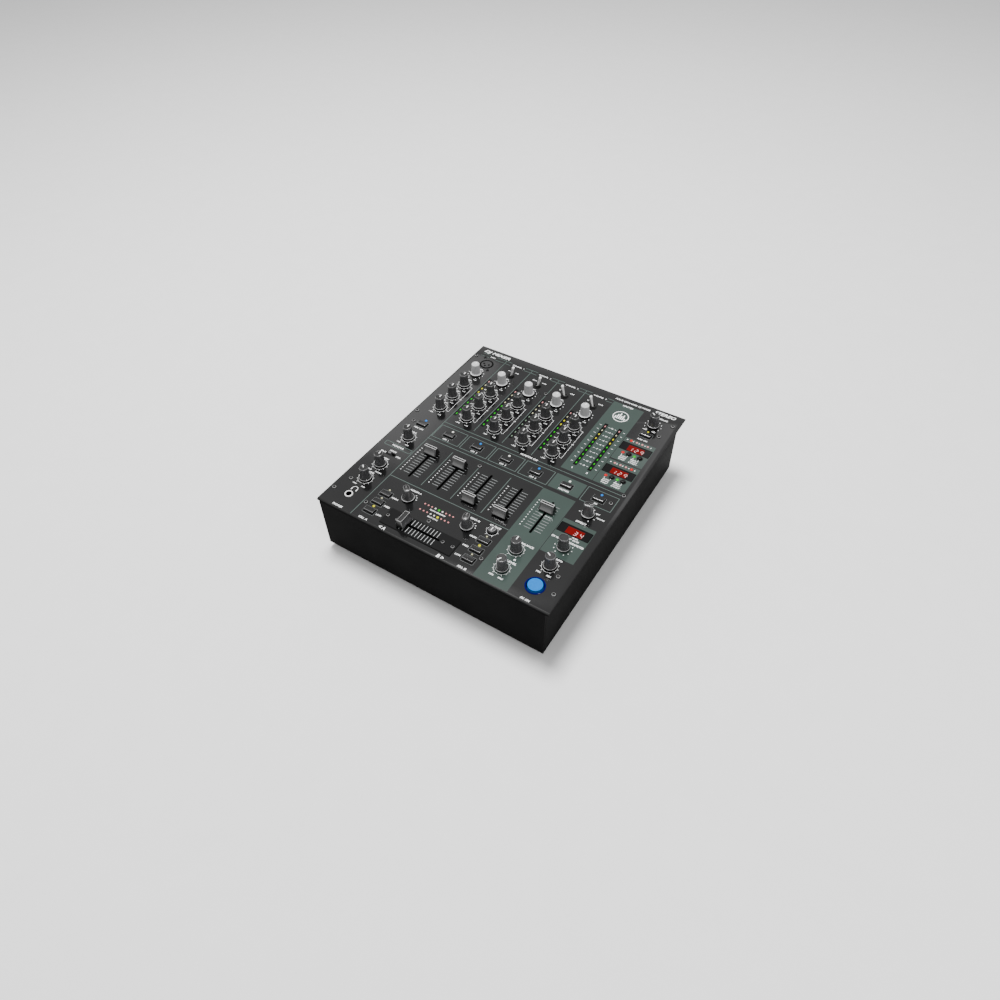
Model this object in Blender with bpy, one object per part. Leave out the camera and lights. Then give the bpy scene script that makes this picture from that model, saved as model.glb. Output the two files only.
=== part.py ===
"""Four-channel DJ mixer in a sheet-steel case.

Top panel with a folded front, tray below it, turning knobs, sliding faders, toggle
switches, sprung keys, smoked windows, sockets and the boards inside.
X runs to the right, Y to the back and Z up. The origin is under the middle of the
case, on the surface that the feet stand on.
"""

import math

import bmesh
import bpy
from mathutils import Matrix, Vector

MM = 0.001

# Driving dimensions.
GAP = 0.3 * MM                      # clearance between neighbouring pieces
PANEL_WIDTH = 320 * MM
PANEL_DEPTH = 365.6 * MM
PANEL_SHEET = 2 * MM
PANEL_TOP = 85.2 * MM
PANEL_BEND = 3.5 * MM               # outer radius of the folded front edge
SIDE_OVERHANG = 3.7 * MM            # panel past the tray's side walls
REAR_OVERHANG = 15.9 * MM           # panel past the tray's rear wall
TRAY_SHEET = 1.5 * MM
TRAY_BASE = 8 * MM                  # underside of the tray above the table
FLANGE_WIDTH = 5 * MM               # inward flange along the tray's top edge
FRONT_LIP = 14 * MM                 # height of the tray's front lip
BOARD_DROP = 16 * MM                # panel top to control board top
BOARD_SHEET = 1.6 * MM
REAR_BOARD_INSET = 18 * MM          # rear wall to socket board, deeper than any socket's well

COLUMN_PITCH = 43.4 * MM
FIRST_COLUMN_X = -131.6 * MM
GAIN_ROW_Y = 120.5 * MM
EQ_TOP_ROW_Y = 91.5 * MM
EQ_PITCH = 29 * MM
KEY_ROW_Y = -7.5 * MM

KNOB_SIDES = 12
SHAFT_RADIUS = 3 * MM
SHAFT_LENGTH = 13.7 * MM            # below the panel's top
KNOB_LIFT = 1 * MM                  # knob's skirt above the panel
SKIRT_TOP = 2.5 * MM
KNOB_HEIGHT = 18.3 * MM
GAIN_KNOB_HEIGHT = 17.5 * MM
SHAFT_HOLE_RADIUS = 4 * MM

FADER_TRAVEL = 44.5 * MM
FADER_MIDDLE_Y = -67.3 * MM
FADER_SLOT = (2.6 * MM, 55.5 * MM)
FADER_TRACK = (9 * MM, 62 * MM)
STEM = (1.4 * MM, 3 * MM)
STEM_LENGTH = 12.5 * MM
CAP_LIFT = 1.8 * MM
CAP_SHOULDER = 4.8 * MM
CAP_HEIGHT = 12 * MM
CROSSFADER_Y = -160 * MM
CROSSFADER_MIDDLE_X = -22.7 * MM
CROSSFADER_PLATE = (99.5 * MM, 25 * MM, 1 * MM)

KEY = (13.6 * MM, 7.6 * MM)
KEY_HEIGHT = 2.6 * MM
KEY_DEPTH = 8 * MM                  # below the panel's top
KEY_TRAVEL = 1.5 * MM
WEB_THICKNESS = 1.5 * MM            # bars that join the keys of one carrier
WEB_WIDTH = 3 * MM
ROUND_KEY_RADIUS = 2.5 * MM
FX_BUTTON_RADIUS = 9 * MM
DISPLAY_WINDOW = (40.6 * MM, 14.6 * MM)
DISPLAY_MODULE = (39.8 * MM, 13.8 * MM)
METER_WINDOW = (4.6 * MM, 90 * MM)
METER_MODULE = (3.8 * MM, 89.2 * MM)
MODULE_RECESS = 1.4 * MM            # module faces below the panel's top
METER_Y = 75.2 * MM
TOGGLE_Y = 142 * MM
TOGGLE_TILT = math.radians(14)
TOGGLE_LENGTH = 17 * MM             # tip above the panel
TOGGLE_PIVOT = 1.5 * MM             # pivot below the panel's top
FOOT_RADIUS = 9 * MM

# Derived places.
PANEL_UNDER = PANEL_TOP - PANEL_SHEET
BOARD_TOP = PANEL_TOP - BOARD_DROP
TRAY_HALF_WIDTH = PANEL_WIDTH / 2 - SIDE_OVERHANG
FRONT_Y = -PANEL_DEPTH / 2
REAR_WALL_Y = PANEL_DEPTH / 2 - REAR_OVERHANG
TRAY_FRONT_Y = FRONT_Y + PANEL_SHEET + GAP
COLUMNS = [FIRST_COLUMN_X + COLUMN_PITCH * index for index in range(7)]
MIC_X, CH1_X, CH2_X, CH3_X, CH4_X, MASTER_X, FX_X = COLUMNS
CHANNEL_X = (CH1_X, CH2_X, CH3_X, CH4_X)
STRIPS = {"mic": MIC_X, "ch1": CH1_X, "ch2": CH2_X, "ch3": CH3_X, "ch4": CH4_X}
EQ_BANDS = ("high", "mid", "low")
FADER_HIGH_Y = FADER_MIDDLE_Y + FADER_TRAVEL / 2
FADER_LOW_Y = FADER_MIDDLE_Y - FADER_TRAVEL / 2
NEARLY_UP_Y = FADER_HIGH_Y - 1.6 * MM

# Knobs that are not in the gain and equaliser rows: place and radii.
CONTROL_KNOBS = {
    "talkover_knob": (MIC_X, -37.5 * MM),
    "phones_mix_knob": (MIC_X, -96 * MM),
    "phones_level_knob": (MIC_X, -125 * MM),
    "balance_knob": (MASTER_X, -125 * MM),
    "master_level_knob": (MASTER_X, -155 * MM),
    "surround_knob": (FX_X, 148.5 * MM),
    "fx_parameter_encoder": (FX_X, -94.5 * MM),
    "fx_depth_knob": (FX_X, -125 * MM),
}
# Pointer knobs: place and the way the pointer looks, in degrees from +Y towards -X.
POINTER_KNOBS = {
    "assign_knob_a": (-66 * MM, -125 * MM, 52),
    "assign_knob_b": (18.6 * MM, -125 * MM, 12),
    "fx_select_knob": (FX_X, -35.5 * MM, -76),
}
CURVE_KNOB = (47.5 * MM, -115.5 * MM)
FADERS = {
    "channel_fader_1": (CH1_X, NEARLY_UP_Y),
    "channel_fader_2": (CH2_X, NEARLY_UP_Y),
    "channel_fader_3": (CH3_X, FADER_LOW_Y),
    "channel_fader_4": (CH4_X, FADER_LOW_Y),
    "master_fader": (MASTER_X, FADER_HIGH_Y - 9.5 * MM),
}
TOGGLE_OFFSET_X = 1.5 * MM
TOGGLE_LEANS = (1, 1, -1, -1)       # +1 leans towards +X
ROW_KEYS = [(x, KEY_ROW_Y) for x in COLUMNS]
KILL_ROWS_Y = (-133.5 * MM, -149 * MM, -164.5 * MM)
KILL_A_KEYS = [(-92.8 * MM, y) for y in KILL_ROWS_Y]
KILL_B_KEYS = [(47.8 * MM, y) for y in KILL_ROWS_Y]
SURROUND_KEY = (FX_X, 126 * MM)
BEAT_KEYS = [(x * MM, y * MM) for y in (82, 34) for x in (125.5, 140.5)]
FX_BUTTON = (FX_X, -156.5 * MM)
# Carrier bars as (size, centre).
ROW_WEB = [((FX_X - MIC_X, WEB_WIDTH), ((FX_X + MIC_X) / 2, KEY_ROW_Y))]
KILL_WEB = (WEB_WIDTH, KILL_ROWS_Y[0] - KILL_ROWS_Y[-1])
# The round keys' carrier runs past the left side of the display module between them.
BEAT_WEBS = [((35 * MM, WEB_WIDTH), (123 * MM, y * MM)) for y in (82, 34)]
BEAT_WEBS += [((WEB_WIDTH, 48 * MM + WEB_WIDTH), (106 * MM, 58 * MM))]
DISPLAYS = [(FX_X, y * MM) for y in (94.5, 46.5, -67.3)]
METERS = [x - 17.8 * MM for x in CHANNEL_X] + [75.7 * MM, 96 * MM]
MODE_SWITCH = (MIC_X, -74.5 * MM)
MODE_SLOT = (12.5 * MM, 3.5 * MM)
MIC_SOCKET = (-131.5 * MM, 147 * MM)
PHONES_JACK = (-131.6 * MM, -156.5 * MM)
PANEL_SCREWS = [(x * MM, y * MM) for x, y in (
    (-155, 157), (151.5, 159.5), (-24, 132), (144, 132), (-154.5, 12), (151.7, 13),
    (-146, -7.5), (144, -6), (-23, -34.5), (-146.5, -134.5), (144, -133.5),
    (-154, -157), (-105, -156.5), (59.3, -156.5), (151.5, -156.5), (-23, -142))]
PLATE_SCREWS = [(CROSSFADER_MIDDLE_X + x * MM, CROSSFADER_Y) for x in (-46, -32.3, 32.3, 46)]
FOOT_X = 134 * MM
FEET = {
    "foot_front_left": (-FOOT_X, -158 * MM),
    "foot_front_right": (FOOT_X, -158 * MM),
    "foot_rear_left": (-FOOT_X, 142 * MM),
    "foot_rear_right": (FOOT_X, 142 * MM),
}

# Rear wall: places as (x, z).
PHONO_PAIRS = [(x * MM, z * MM) for x in (-106, -78, -50, -22) for z in (58, 24)]
XLR_OUTPUTS = [(x * MM, 42 * MM) for x in (34, 66)]
MAINS_INLET = (128 * MM, 36 * MM)
POWER_SWITCH = (98 * MM, 36 * MM)
ROCKER = (13 * MM, 19 * MM)


def clear_scene():
    for item in list(bpy.data.objects):
        bpy.data.objects.remove(item, do_unlink=True)


def material(name, colour, roughness, metallic=0.0, alpha=1.0):
    result = bpy.data.materials.new(name)
    result.use_nodes = True
    shader = result.node_tree.nodes["Principled BSDF"]
    shader.inputs["Base Color"].default_value = (*colour, 1.0)
    shader.inputs["Roughness"].default_value = roughness
    shader.inputs["Metallic"].default_value = metallic
    shader.inputs["Alpha"].default_value = alpha
    return result


def oval(radius_x, radius_y, sides, height, centre=(0.0, 0.0)):
    """Ring of points round a vertical axis, with a flat side towards +X."""
    ring = []
    for step in range(sides):
        angle = 2 * math.pi * (step + 0.5) / sides
        x = centre[0] + radius_x * math.cos(angle)
        y = centre[1] + radius_y * math.sin(angle)
        ring.append(Vector((x, y, height)))
    return ring


def circle(radius, sides, height, centre=(0.0, 0.0)):
    return oval(radius, radius, sides, height, centre)


def rectangle(size, height, centre=(0.0, 0.0)):
    half_x, half_y = size[0] / 2, size[1] / 2
    corners = ((-half_x, -half_y), (half_x, -half_y), (half_x, half_y), (-half_x, half_y))
    return [Vector((centre[0] + x, centre[1] + y, height)) for x, y in corners]


def add_loft(bm, rings, place=None):
    """Closed solid through stacked rings. Rings that turn back inwards make a recess."""
    place = place or Matrix()
    loops = [[bm.verts.new(place @ point) for point in ring] for ring in rings]
    bm.faces.new(loops[0][::-1])
    for low, high in zip(loops, loops[1:]):
        for here in range(len(low)):
            after = (here + 1) % len(low)
            bm.faces.new((low[here], low[after], high[after], high[here]))
    bm.faces.new(loops[-1])


def add_block(bm, low, high):
    """Box between two corners."""
    size = (high[0] - low[0], high[1] - low[1])
    centre = ((low[0] + high[0]) / 2, (low[1] + high[1]) / 2)
    add_loft(bm, [rectangle(size, low[2], centre), rectangle(size, high[2], centre)])


def add_post(bm, size, centre, bottom, top):
    """Upright box round a centre."""
    add_loft(bm, [rectangle(size, bottom, centre), rectangle(size, top, centre)])


def add_pin(bm, radius, sides, centre, bottom, top):
    """Upright prism with a round outline."""
    add_loft(bm, [circle(radius, sides, bottom, centre), circle(radius, sides, top, centre)])


def make_object(name, bm, location=(0, 0, 0), turn=(0, 0, 0), look=None):
    mesh = bpy.data.meshes.new(name)
    bm.to_mesh(mesh)
    bm.free()
    item = bpy.data.objects.new(name, mesh)
    item.location = location
    item.rotation_euler = turn
    bpy.context.collection.objects.link(item)
    if look:
        mesh.materials.append(look)
    return item


def shade(item, sharp_angle=40):
    item.data.shade_smooth()
    item.data.set_sharp_from_angle(angle=math.radians(sharp_angle))


def combine(target, helper, operation):
    """Boolean with a guide object that is left out of the model."""
    helper.hide_render = True
    helper.display_type = "WIRE"
    step = target.modifiers.new(helper.name, "BOOLEAN")
    step.operation = operation
    step.object = helper
    step.solver = "EXACT"


def knob_shafts():
    """Places of every knob that turns a potentiometer or a rotary switch."""
    places = [(x, GAIN_ROW_Y) for x in STRIPS.values()]
    for row in range(len(EQ_BANDS)):
        places += [(x, EQ_TOP_ROW_Y - EQ_PITCH * row) for x in STRIPS.values()]
    places += list(CONTROL_KNOBS.values())
    places += [place[:2] for place in POINTER_KNOBS.values()]
    return places + [CURVE_KNOB]


def toggle_places():
    return [(x + TOGGLE_OFFSET_X, TOGGLE_Y) for x in CHANNEL_X]


def rectangular_keys():
    return ROW_KEYS + KILL_A_KEYS + KILL_B_KEYS + [SURROUND_KEY]


def bend(radius, steps=4):
    """Quarter turn of the panel's fold, from its top to its front face."""
    centre = (FRONT_Y + PANEL_BEND, PANEL_TOP - PANEL_BEND)
    angles = [math.pi / 2 * (1 + step / steps) for step in range(steps + 1)]
    return [(centre[0] + radius * math.cos(a), centre[1] + radius * math.sin(a)) for a in angles]


def make_top_panel(look):
    """Sheet with a folded front. The fold is as wide as the tray below."""
    rear = PANEL_DEPTH / 2
    profile = [(rear, PANEL_TOP)] + bend(PANEL_BEND)
    profile += [(FRONT_Y, TRAY_BASE), (FRONT_Y + PANEL_SHEET, TRAY_BASE)]
    profile += bend(PANEL_BEND - PANEL_SHEET)[::-1] + [(rear, PANEL_UNDER)]
    bm = bmesh.new()
    sides = (-PANEL_WIDTH / 2, PANEL_WIDTH / 2)
    add_loft(bm, [[Vector((x, y, z)) for y, z in profile] for x in sides])
    panel = make_object("top_panel", bm, look=look)

    bm = bmesh.new()
    under, over = PANEL_UNDER - 3 * MM, PANEL_TOP + 3 * MM
    for centre in knob_shafts() + toggle_places():
        add_pin(bm, SHAFT_HOLE_RADIUS, 8, centre, under, over)
    for centre in PANEL_SCREWS:
        add_pin(bm, 2.1 * MM, 6, centre, under, over)
    for centre in BEAT_KEYS:
        add_pin(bm, 3.1 * MM, 8, centre, under, over)
    add_pin(bm, FX_BUTTON_RADIUS + 1 * MM, 16, FX_BUTTON, under, over)
    add_pin(bm, 9.9 * MM, 16, MIC_SOCKET, under, over)
    add_pin(bm, 5.6 * MM, 12, PHONES_JACK, under, over)
    for centre in rectangular_keys():
        add_post(bm, (KEY[0] + 1 * MM, KEY[1] + 1 * MM), centre, under, over)
    for centre in DISPLAYS:
        add_post(bm, DISPLAY_WINDOW, centre, under, over)
    for x in METERS:
        add_post(bm, METER_WINDOW, (x, METER_Y), under, over)
    for x, _ in FADERS.values():
        add_post(bm, FADER_SLOT, (x, FADER_MIDDLE_Y), under, over)
    crossfader_cutout = (72 * MM, 12 * MM)
    add_post(bm, crossfader_cutout, (CROSSFADER_MIDDLE_X, CROSSFADER_Y), under, over)
    add_post(bm, MODE_SLOT, MODE_SWITCH, under, over)
    for x, y in (PLATE_SCREWS[0], PLATE_SCREWS[-1]):
        add_pin(bm, 2.1 * MM, 6, (x, y), under, over)
    combine(panel, make_object("panel_openings", bm), "DIFFERENCE")

    bm = bmesh.new()
    for side in (-1, 1):
        inner, outer = side * TRAY_HALF_WIDTH, side * (PANEL_WIDTH / 2 + MM)
        low = (min(inner, outer), FRONT_Y - MM, 0)
        high = (max(inner, outer), TRAY_FRONT_Y + 4 * MM, PANEL_UNDER)
        add_block(bm, low, high)
    combine(panel, make_object("fold_notches", bm), "DIFFERENCE")
    shade(panel)


def make_chassis_tray(look):
    """Folded tray: bottom, sides, rear wall, top flanges and a low front lip."""
    top = PANEL_UNDER - GAP
    bm = bmesh.new()
    add_block(bm, (-TRAY_HALF_WIDTH, TRAY_FRONT_Y, TRAY_BASE), (TRAY_HALF_WIDTH, REAR_WALL_Y, top))
    tray = make_object("chassis_tray", bm, look=look)

    inner_x = TRAY_HALF_WIDTH - TRAY_SHEET
    inner_front, inner_rear = TRAY_FRONT_Y + TRAY_SHEET, REAR_WALL_Y - TRAY_SHEET
    bm = bmesh.new()
    low = (-inner_x, inner_front, TRAY_BASE + TRAY_SHEET)
    add_block(bm, low, (inner_x, inner_rear, top - TRAY_SHEET))
    combine(tray, make_object("tray_hollow", bm), "DIFFERENCE")

    mouth_x = inner_x - FLANGE_WIDTH
    bm = bmesh.new()
    low = (-mouth_x, TRAY_FRONT_Y - 5 * MM, top - 5 * MM)
    add_block(bm, low, (mouth_x, inner_rear - FLANGE_WIDTH, top + 5 * MM))
    combine(tray, make_object("tray_mouth", bm), "DIFFERENCE")

    bm = bmesh.new()
    low = (-inner_x, TRAY_FRONT_Y - 5 * MM, TRAY_BASE + FRONT_LIP)
    add_block(bm, low, (inner_x, TRAY_FRONT_Y + 3 * MM, top + 5 * MM))
    combine(tray, make_object("tray_front_opening", bm), "DIFFERENCE")

    bm = bmesh.new()
    low = (-PANEL_WIDTH / 2, TRAY_FRONT_Y - 5 * MM, PANEL_TOP - PANEL_BEND - MM)
    add_block(bm, low, (PANEL_WIDTH / 2, TRAY_FRONT_Y + 2 * MM, PANEL_TOP))
    combine(tray, make_object("fold_clearance", bm), "DIFFERENCE")

    bm = bmesh.new()
    through = (REAR_WALL_Y - 6 * MM, REAR_WALL_Y + 6 * MM)
    for x, z in PHONO_PAIRS:
        half_x, half_z = 12.5 * MM, 6.5 * MM
        add_block(bm, (x - half_x, through[0], z - half_z), (x + half_x, through[1], z + half_z))
    for x, z in XLR_OUTPUTS:
        rings = [[Vector((p.x, y, p.y)) for p in circle(11.4 * MM, 16, 0, (x, z))] for y in through]
        add_loft(bm, rings[::-1])
    for (x, z), (width, height) in ((MAINS_INLET, (29 * MM, 22 * MM)), (POWER_SWITCH, ROCKER)):
        half_x, half_z = width / 2 + 1.5 * MM, height / 2 + 1.5 * MM
        add_block(bm, (x - half_x, through[0], z - half_z), (x + half_x, through[1], z + half_z))
    combine(tray, make_object("rear_openings", bm), "DIFFERENCE")


def make_crossfader_plate(look):
    width, depth, thickness = CROSSFADER_PLATE
    bottom = PANEL_TOP + GAP
    centre = (CROSSFADER_MIDDLE_X, CROSSFADER_Y)
    bm = bmesh.new()
    add_post(bm, (width, depth), centre, bottom, bottom + thickness)
    plate = make_object("crossfader_plate", bm, look=look)

    bm = bmesh.new()
    slot = (FADER_SLOT[1], FADER_SLOT[0])
    add_post(bm, slot, centre, bottom - MM, bottom + thickness + MM)
    for place in PLATE_SCREWS:
        add_pin(bm, 2.1 * MM, 6, place, bottom - MM, bottom + thickness + MM)
    combine(plate, make_object("plate_openings", bm), "DIFFERENCE")


def make_feet(look):
    for name, place in FEET.items():
        bm = bmesh.new()
        rings = [circle(FOOT_RADIUS - MM, 16, 0), circle(FOOT_RADIUS, 16, TRAY_BASE - GAP)]
        add_loft(bm, rings)
        shade(make_object(name, bm, (*place, 0), look=look))


def make_control_board(look):
    """Circuit board with the bodies of the potentiometers, faders and switches."""
    pot_top = BOARD_TOP + 8 * MM
    track_top = PANEL_UNDER - 3 * MM
    sink = 0.5 * MM                 # bodies reach into the board, to join it
    crossfader_track = (FADER_TRACK[1], FADER_TRACK[0])
    crossfader_centre = (CROSSFADER_MIDDLE_X, CROSSFADER_Y)
    bm = bmesh.new()
    low = (-140 * MM, -172 * MM, BOARD_TOP - BOARD_SHEET)
    add_block(bm, low, (150 * MM, 158 * MM, BOARD_TOP))
    board = make_object("control_board", bm, look=look)

    bm = bmesh.new()
    foot = BOARD_TOP - sink
    for centre in knob_shafts():
        add_post(bm, (11 * MM, 11 * MM), centre, foot, pot_top)
    for centre in toggle_places():
        add_pin(bm, 3.6 * MM, 8, centre, foot, PANEL_TOP + 2.5 * MM)
    for x, _ in FADERS.values():
        add_post(bm, FADER_TRACK, (x, FADER_MIDDLE_Y), foot, track_top)
    add_post(bm, crossfader_track, crossfader_centre, foot, track_top)
    key_stop = PANEL_TOP - KEY_DEPTH - KEY_TRAVEL - GAP
    for centre in rectangular_keys() + BEAT_KEYS + [FX_BUTTON]:
        add_post(bm, (5 * MM, 5 * MM), centre, foot, key_stop)
    add_post(bm, (16 * MM, 7 * MM), MODE_SWITCH, foot, PANEL_UNDER - 4 * MM)
    for centre in DISPLAYS:
        add_post(bm, DISPLAY_MODULE, centre, foot, PANEL_TOP - MODULE_RECESS)
    for x in METERS:
        add_post(bm, METER_MODULE, (x, METER_Y), foot, PANEL_TOP - MODULE_RECESS)
    add_loft(bm, mic_socket_rings(MIC_SOCKET))
    combine(board, make_object("component_bodies", bm), "UNION")

    bm = bmesh.new()
    high_z = PANEL_TOP + 6 * MM
    for centre in knob_shafts():
        add_pin(bm, SHAFT_RADIUS + 2 * GAP, 8, centre, PANEL_TOP - SHAFT_LENGTH - GAP, high_z)
    for centre in toggle_places():
        add_pin(bm, 2.9 * MM, 8, centre, PANEL_TOP - 5 * MM, high_z)
    groove_floor = PANEL_TOP - STEM_LENGTH - GAP
    groove = (STEM[0] + 1.2 * MM, FADER_TRAVEL + STEM[1] + 2 * MM)
    for x, _ in FADERS.values():
        add_post(bm, groove, (x, FADER_MIDDLE_Y), groove_floor, high_z)
    add_post(bm, (groove[1], groove[0]), crossfader_centre, groove_floor, high_z)
    add_post(bm, (9 * MM, 2.6 * MM), MODE_SWITCH, PANEL_UNDER - 7 * MM, high_z)
    jack_clearance = (14 * MM, 14 * MM)
    add_post(bm, jack_clearance, PHONES_JACK, BOARD_TOP - 6 * MM, high_z)
    for angle in (90, 210, 330):
        turn = math.radians(angle)
        centre = (MIC_SOCKET[0] + 4 * MM * math.cos(turn), MIC_SOCKET[1] + 4 * MM * math.sin(turn))
        add_pin(bm, 1.3 * MM, 6, centre, PANEL_TOP - 10 * MM, high_z)
    combine(board, make_object("component_holes", bm), "DIFFERENCE")


def mic_socket_rings(centre):
    """Round body with a recessed face, open at the panel."""
    face = PANEL_TOP + 0.6 * MM
    rings = [circle(9.5 * MM, 16, BOARD_TOP - MM, centre), circle(9.5 * MM, 16, face, centre)]
    return rings + [circle(8 * MM, 16, face, centre), circle(8 * MM, 16, face - 2 * MM, centre)]


def make_phones_jack(look):
    """Threaded sleeve with a bore for a 6.35 mm plug."""
    sides = 12
    lip = MM
    bm = bmesh.new()
    rings = [circle(5.2 * MM, sides, -26 * MM), circle(5.2 * MM, sides, lip)]
    rings += [circle(3.25 * MM, sides, lip), circle(3.25 * MM, sides, -24 * MM)]
    add_loft(bm, rings)
    shade(make_object("phones_jack", bm, (*PHONES_JACK, PANEL_TOP), look=look))


def facing_back(centre, depth):
    """Place that turns a solid's +Z towards +Y at a point of the rear wall."""
    turn = Matrix.Rotation(math.radians(-90), 4, "X")
    return Matrix.Translation((centre[0], depth, centre[1])) @ turn


def make_rear_board(look):
    """Upright socket board behind the rear wall, with the supply's deck at its foot."""
    wall = REAR_WALL_Y
    board_y = wall - REAR_BOARD_INSET
    deck = TRAY_BASE + TRAY_SHEET + GAP + 6 * MM
    bm = bmesh.new()
    low = (-124 * MM, board_y - BOARD_SHEET, deck - MM)
    add_block(bm, low, (146 * MM, board_y, 66 * MM))
    rear_board = make_object("rear_board", bm, look=look)

    bm = bmesh.new()
    root = -REAR_BOARD_INSET - 0.5 * MM     # sockets start inside the board, to join it
    for x, z in PHONO_PAIRS:
        for side in (-1, 1):
            place = facing_back((x + side * 6.5 * MM, z), wall)
            outer, bore = 4.2 * MM, 1.6 * MM
            rings = [circle(outer, 8, root), circle(outer, 8, 9 * MM)]
            rings += [circle(bore, 8, 9 * MM), circle(bore, 8, -4 * MM)]
            add_loft(bm, rings, place)
    for centre in XLR_OUTPUTS:
        outer, well = 11 * MM, 9.2 * MM
        rings = [circle(outer, 16, -20 * MM), circle(outer, 16, MM)]
        rings += [circle(well, 16, MM), circle(well, 16, -15 * MM)]
        add_loft(bm, rings, facing_back(centre, wall))
    shell, well = (29 * MM, 22 * MM), (24 * MM, 16 * MM)
    rings = [rectangle(shell, -22 * MM), rectangle(shell, 1.5 * MM)]
    rings += [rectangle(well, 1.5 * MM), rectangle(well, -16 * MM)]
    add_loft(bm, rings, facing_back(MAINS_INLET, wall))
    frame = [side + 2.4 * MM for side in ROCKER]
    well = [side + 1.4 * MM for side in ROCKER]
    rings = [rectangle(frame, root), rectangle(frame, MM)]
    rings += [rectangle(well, MM), rectangle(well, -8 * MM)]
    add_loft(bm, rings, facing_back(POWER_SWITCH, wall))
    combine(rear_board, make_object("socket_bodies", bm), "UNION")

    bm = bmesh.new()
    for centre in XLR_OUTPUTS:
        for angle in (90, 210, 330):
            turn = math.radians(angle)
            offset = (4.2 * MM * math.cos(turn), 4.2 * MM * math.sin(turn))
            rings = [circle(1.2 * MM, 6, -16 * MM, offset), circle(1.2 * MM, 6, -5 * MM, offset)]
            add_loft(bm, rings, facing_back(centre, wall))
    for offset in ((-7 * MM, 2 * MM), (0, -2 * MM), (7 * MM, 2 * MM)):
        size = (2.2 * MM, 4 * MM)
        rings = [rectangle(size, -17 * MM, offset), rectangle(size, -5 * MM, offset)]
        add_loft(bm, rings, facing_back(MAINS_INLET, wall))
    low = (58 * MM, 50 * MM, deck)
    add_block(bm, low, (146 * MM, board_y - 0.5 * MM, deck + BOARD_SHEET))
    combine(rear_board, make_object("pins_and_deck", bm), "UNION")

    bm = bmesh.new()
    sink = 0.5 * MM
    for x in (63 * MM, 141 * MM):
        for y in (55 * MM, 138 * MM):
            add_pin(bm, 3 * MM, 6, (x, y), TRAY_BASE + TRAY_SHEET + GAP, deck + sink)
    above = deck + BOARD_SHEET - sink
    add_post(bm, (46 * MM, 40 * MM), (100 * MM, 78 * MM), above, deck + 36 * MM)
    for x in (74 * MM, 126 * MM):
        add_pin(bm, 8 * MM, 8, (x, 115 * MM), above, deck + 26 * MM)
    combine(rear_board, make_object("supply_components", bm), "UNION")


def shaft_rings():
    return [circle(SHAFT_RADIUS, KNOB_SIDES, -SHAFT_LENGTH),
            circle(SHAFT_RADIUS, KNOB_SIDES, KNOB_LIFT)]


def make_round_knob(name, centre, radii, height, look):
    """Skirted knob and its shaft. radii are the skirt's, the body's foot and its top."""
    skirt, foot, top = radii
    bm = bmesh.new()
    rings = shaft_rings() + [circle(skirt, KNOB_SIDES, KNOB_LIFT)]
    rings += [circle(skirt, KNOB_SIDES, SKIRT_TOP), circle(foot, KNOB_SIDES, SKIRT_TOP)]
    add_loft(bm, rings + [circle(top, KNOB_SIDES, height)])
    shade(make_object(name, bm, (*centre, PANEL_TOP), look=look))


def make_pointer_knob(name, x, y, pointer, look):
    """Skirted knob with a narrow grip that points at its setting."""
    bm = bmesh.new()
    skirt = 7.9 * MM
    rings = shaft_rings() + [circle(skirt, KNOB_SIDES, KNOB_LIFT)]
    rings += [circle(skirt, KNOB_SIDES, SKIRT_TOP), oval(4 * MM, 6.6 * MM, KNOB_SIDES, SKIRT_TOP)]
    rings += [oval(3 * MM, 5.4 * MM, KNOB_SIDES, KNOB_HEIGHT)]
    add_loft(bm, rings)
    turn = (0, 0, math.radians(pointer))
    shade(make_object(name, bm, (x, y, PANEL_TOP), turn, look))


def make_fader(name, x, y, look, along_x=False):
    """Cap with a raised ridge on a flat stem. It slides along Y, or along X."""
    lift = GAP + CROSSFADER_PLATE[2] if along_x else 0.0
    base = (12 * MM, 19 * MM) if along_x else (19 * MM, 11.4 * MM)
    ridge = (4 * MM, 17.6 * MM) if along_x else (17.6 * MM, 4 * MM)
    stem = STEM[::-1] if along_x else STEM
    bm = bmesh.new()
    rings = [rectangle(stem, -STEM_LENGTH), rectangle(stem, lift + CAP_LIFT)]
    rings += [rectangle(base, lift + CAP_LIFT), rectangle(base, lift + CAP_SHOULDER)]
    add_loft(bm, rings + [rectangle(ridge, lift + CAP_HEIGHT)])
    make_object(name, bm, (x, y, PANEL_TOP), look=look)


def make_toggle(name, centre, lean, look):
    """Metal lever on a ball. Its origin is the pivot, under the panel's top."""
    sides = 8
    tip = TOGGLE_LENGTH + TOGGLE_PIVOT
    stations = ((0.8, -2), (2, -0.9), (2, 0.9), (1.1, 2.2), (1.3, 12))
    rings = [circle(radius * MM, sides, height * MM) for radius, height in stations]
    rings += [circle(1.8 * MM, sides, tip - 3 * MM), circle(1.2 * MM, sides, tip)]
    bm = bmesh.new()
    add_loft(bm, rings)
    location = (*centre, PANEL_TOP - TOGGLE_PIVOT)
    shade(make_object(name, bm, location, (0, lean * TOGGLE_TILT, 0), look))


def add_webs(target, webs, first):
    """Bars under the panel that join the keys moulded on one carrier."""
    for index, (size, centre) in enumerate(webs):
        bm = bmesh.new()
        place = (centre[0] - first[0], centre[1] - first[1])
        add_post(bm, size, place, -KEY_DEPTH, -KEY_DEPTH + WEB_THICKNESS)
        web = make_object(f"{target.name}_web_{index}", bm, target.location)
        combine(target, web, "UNION")


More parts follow.
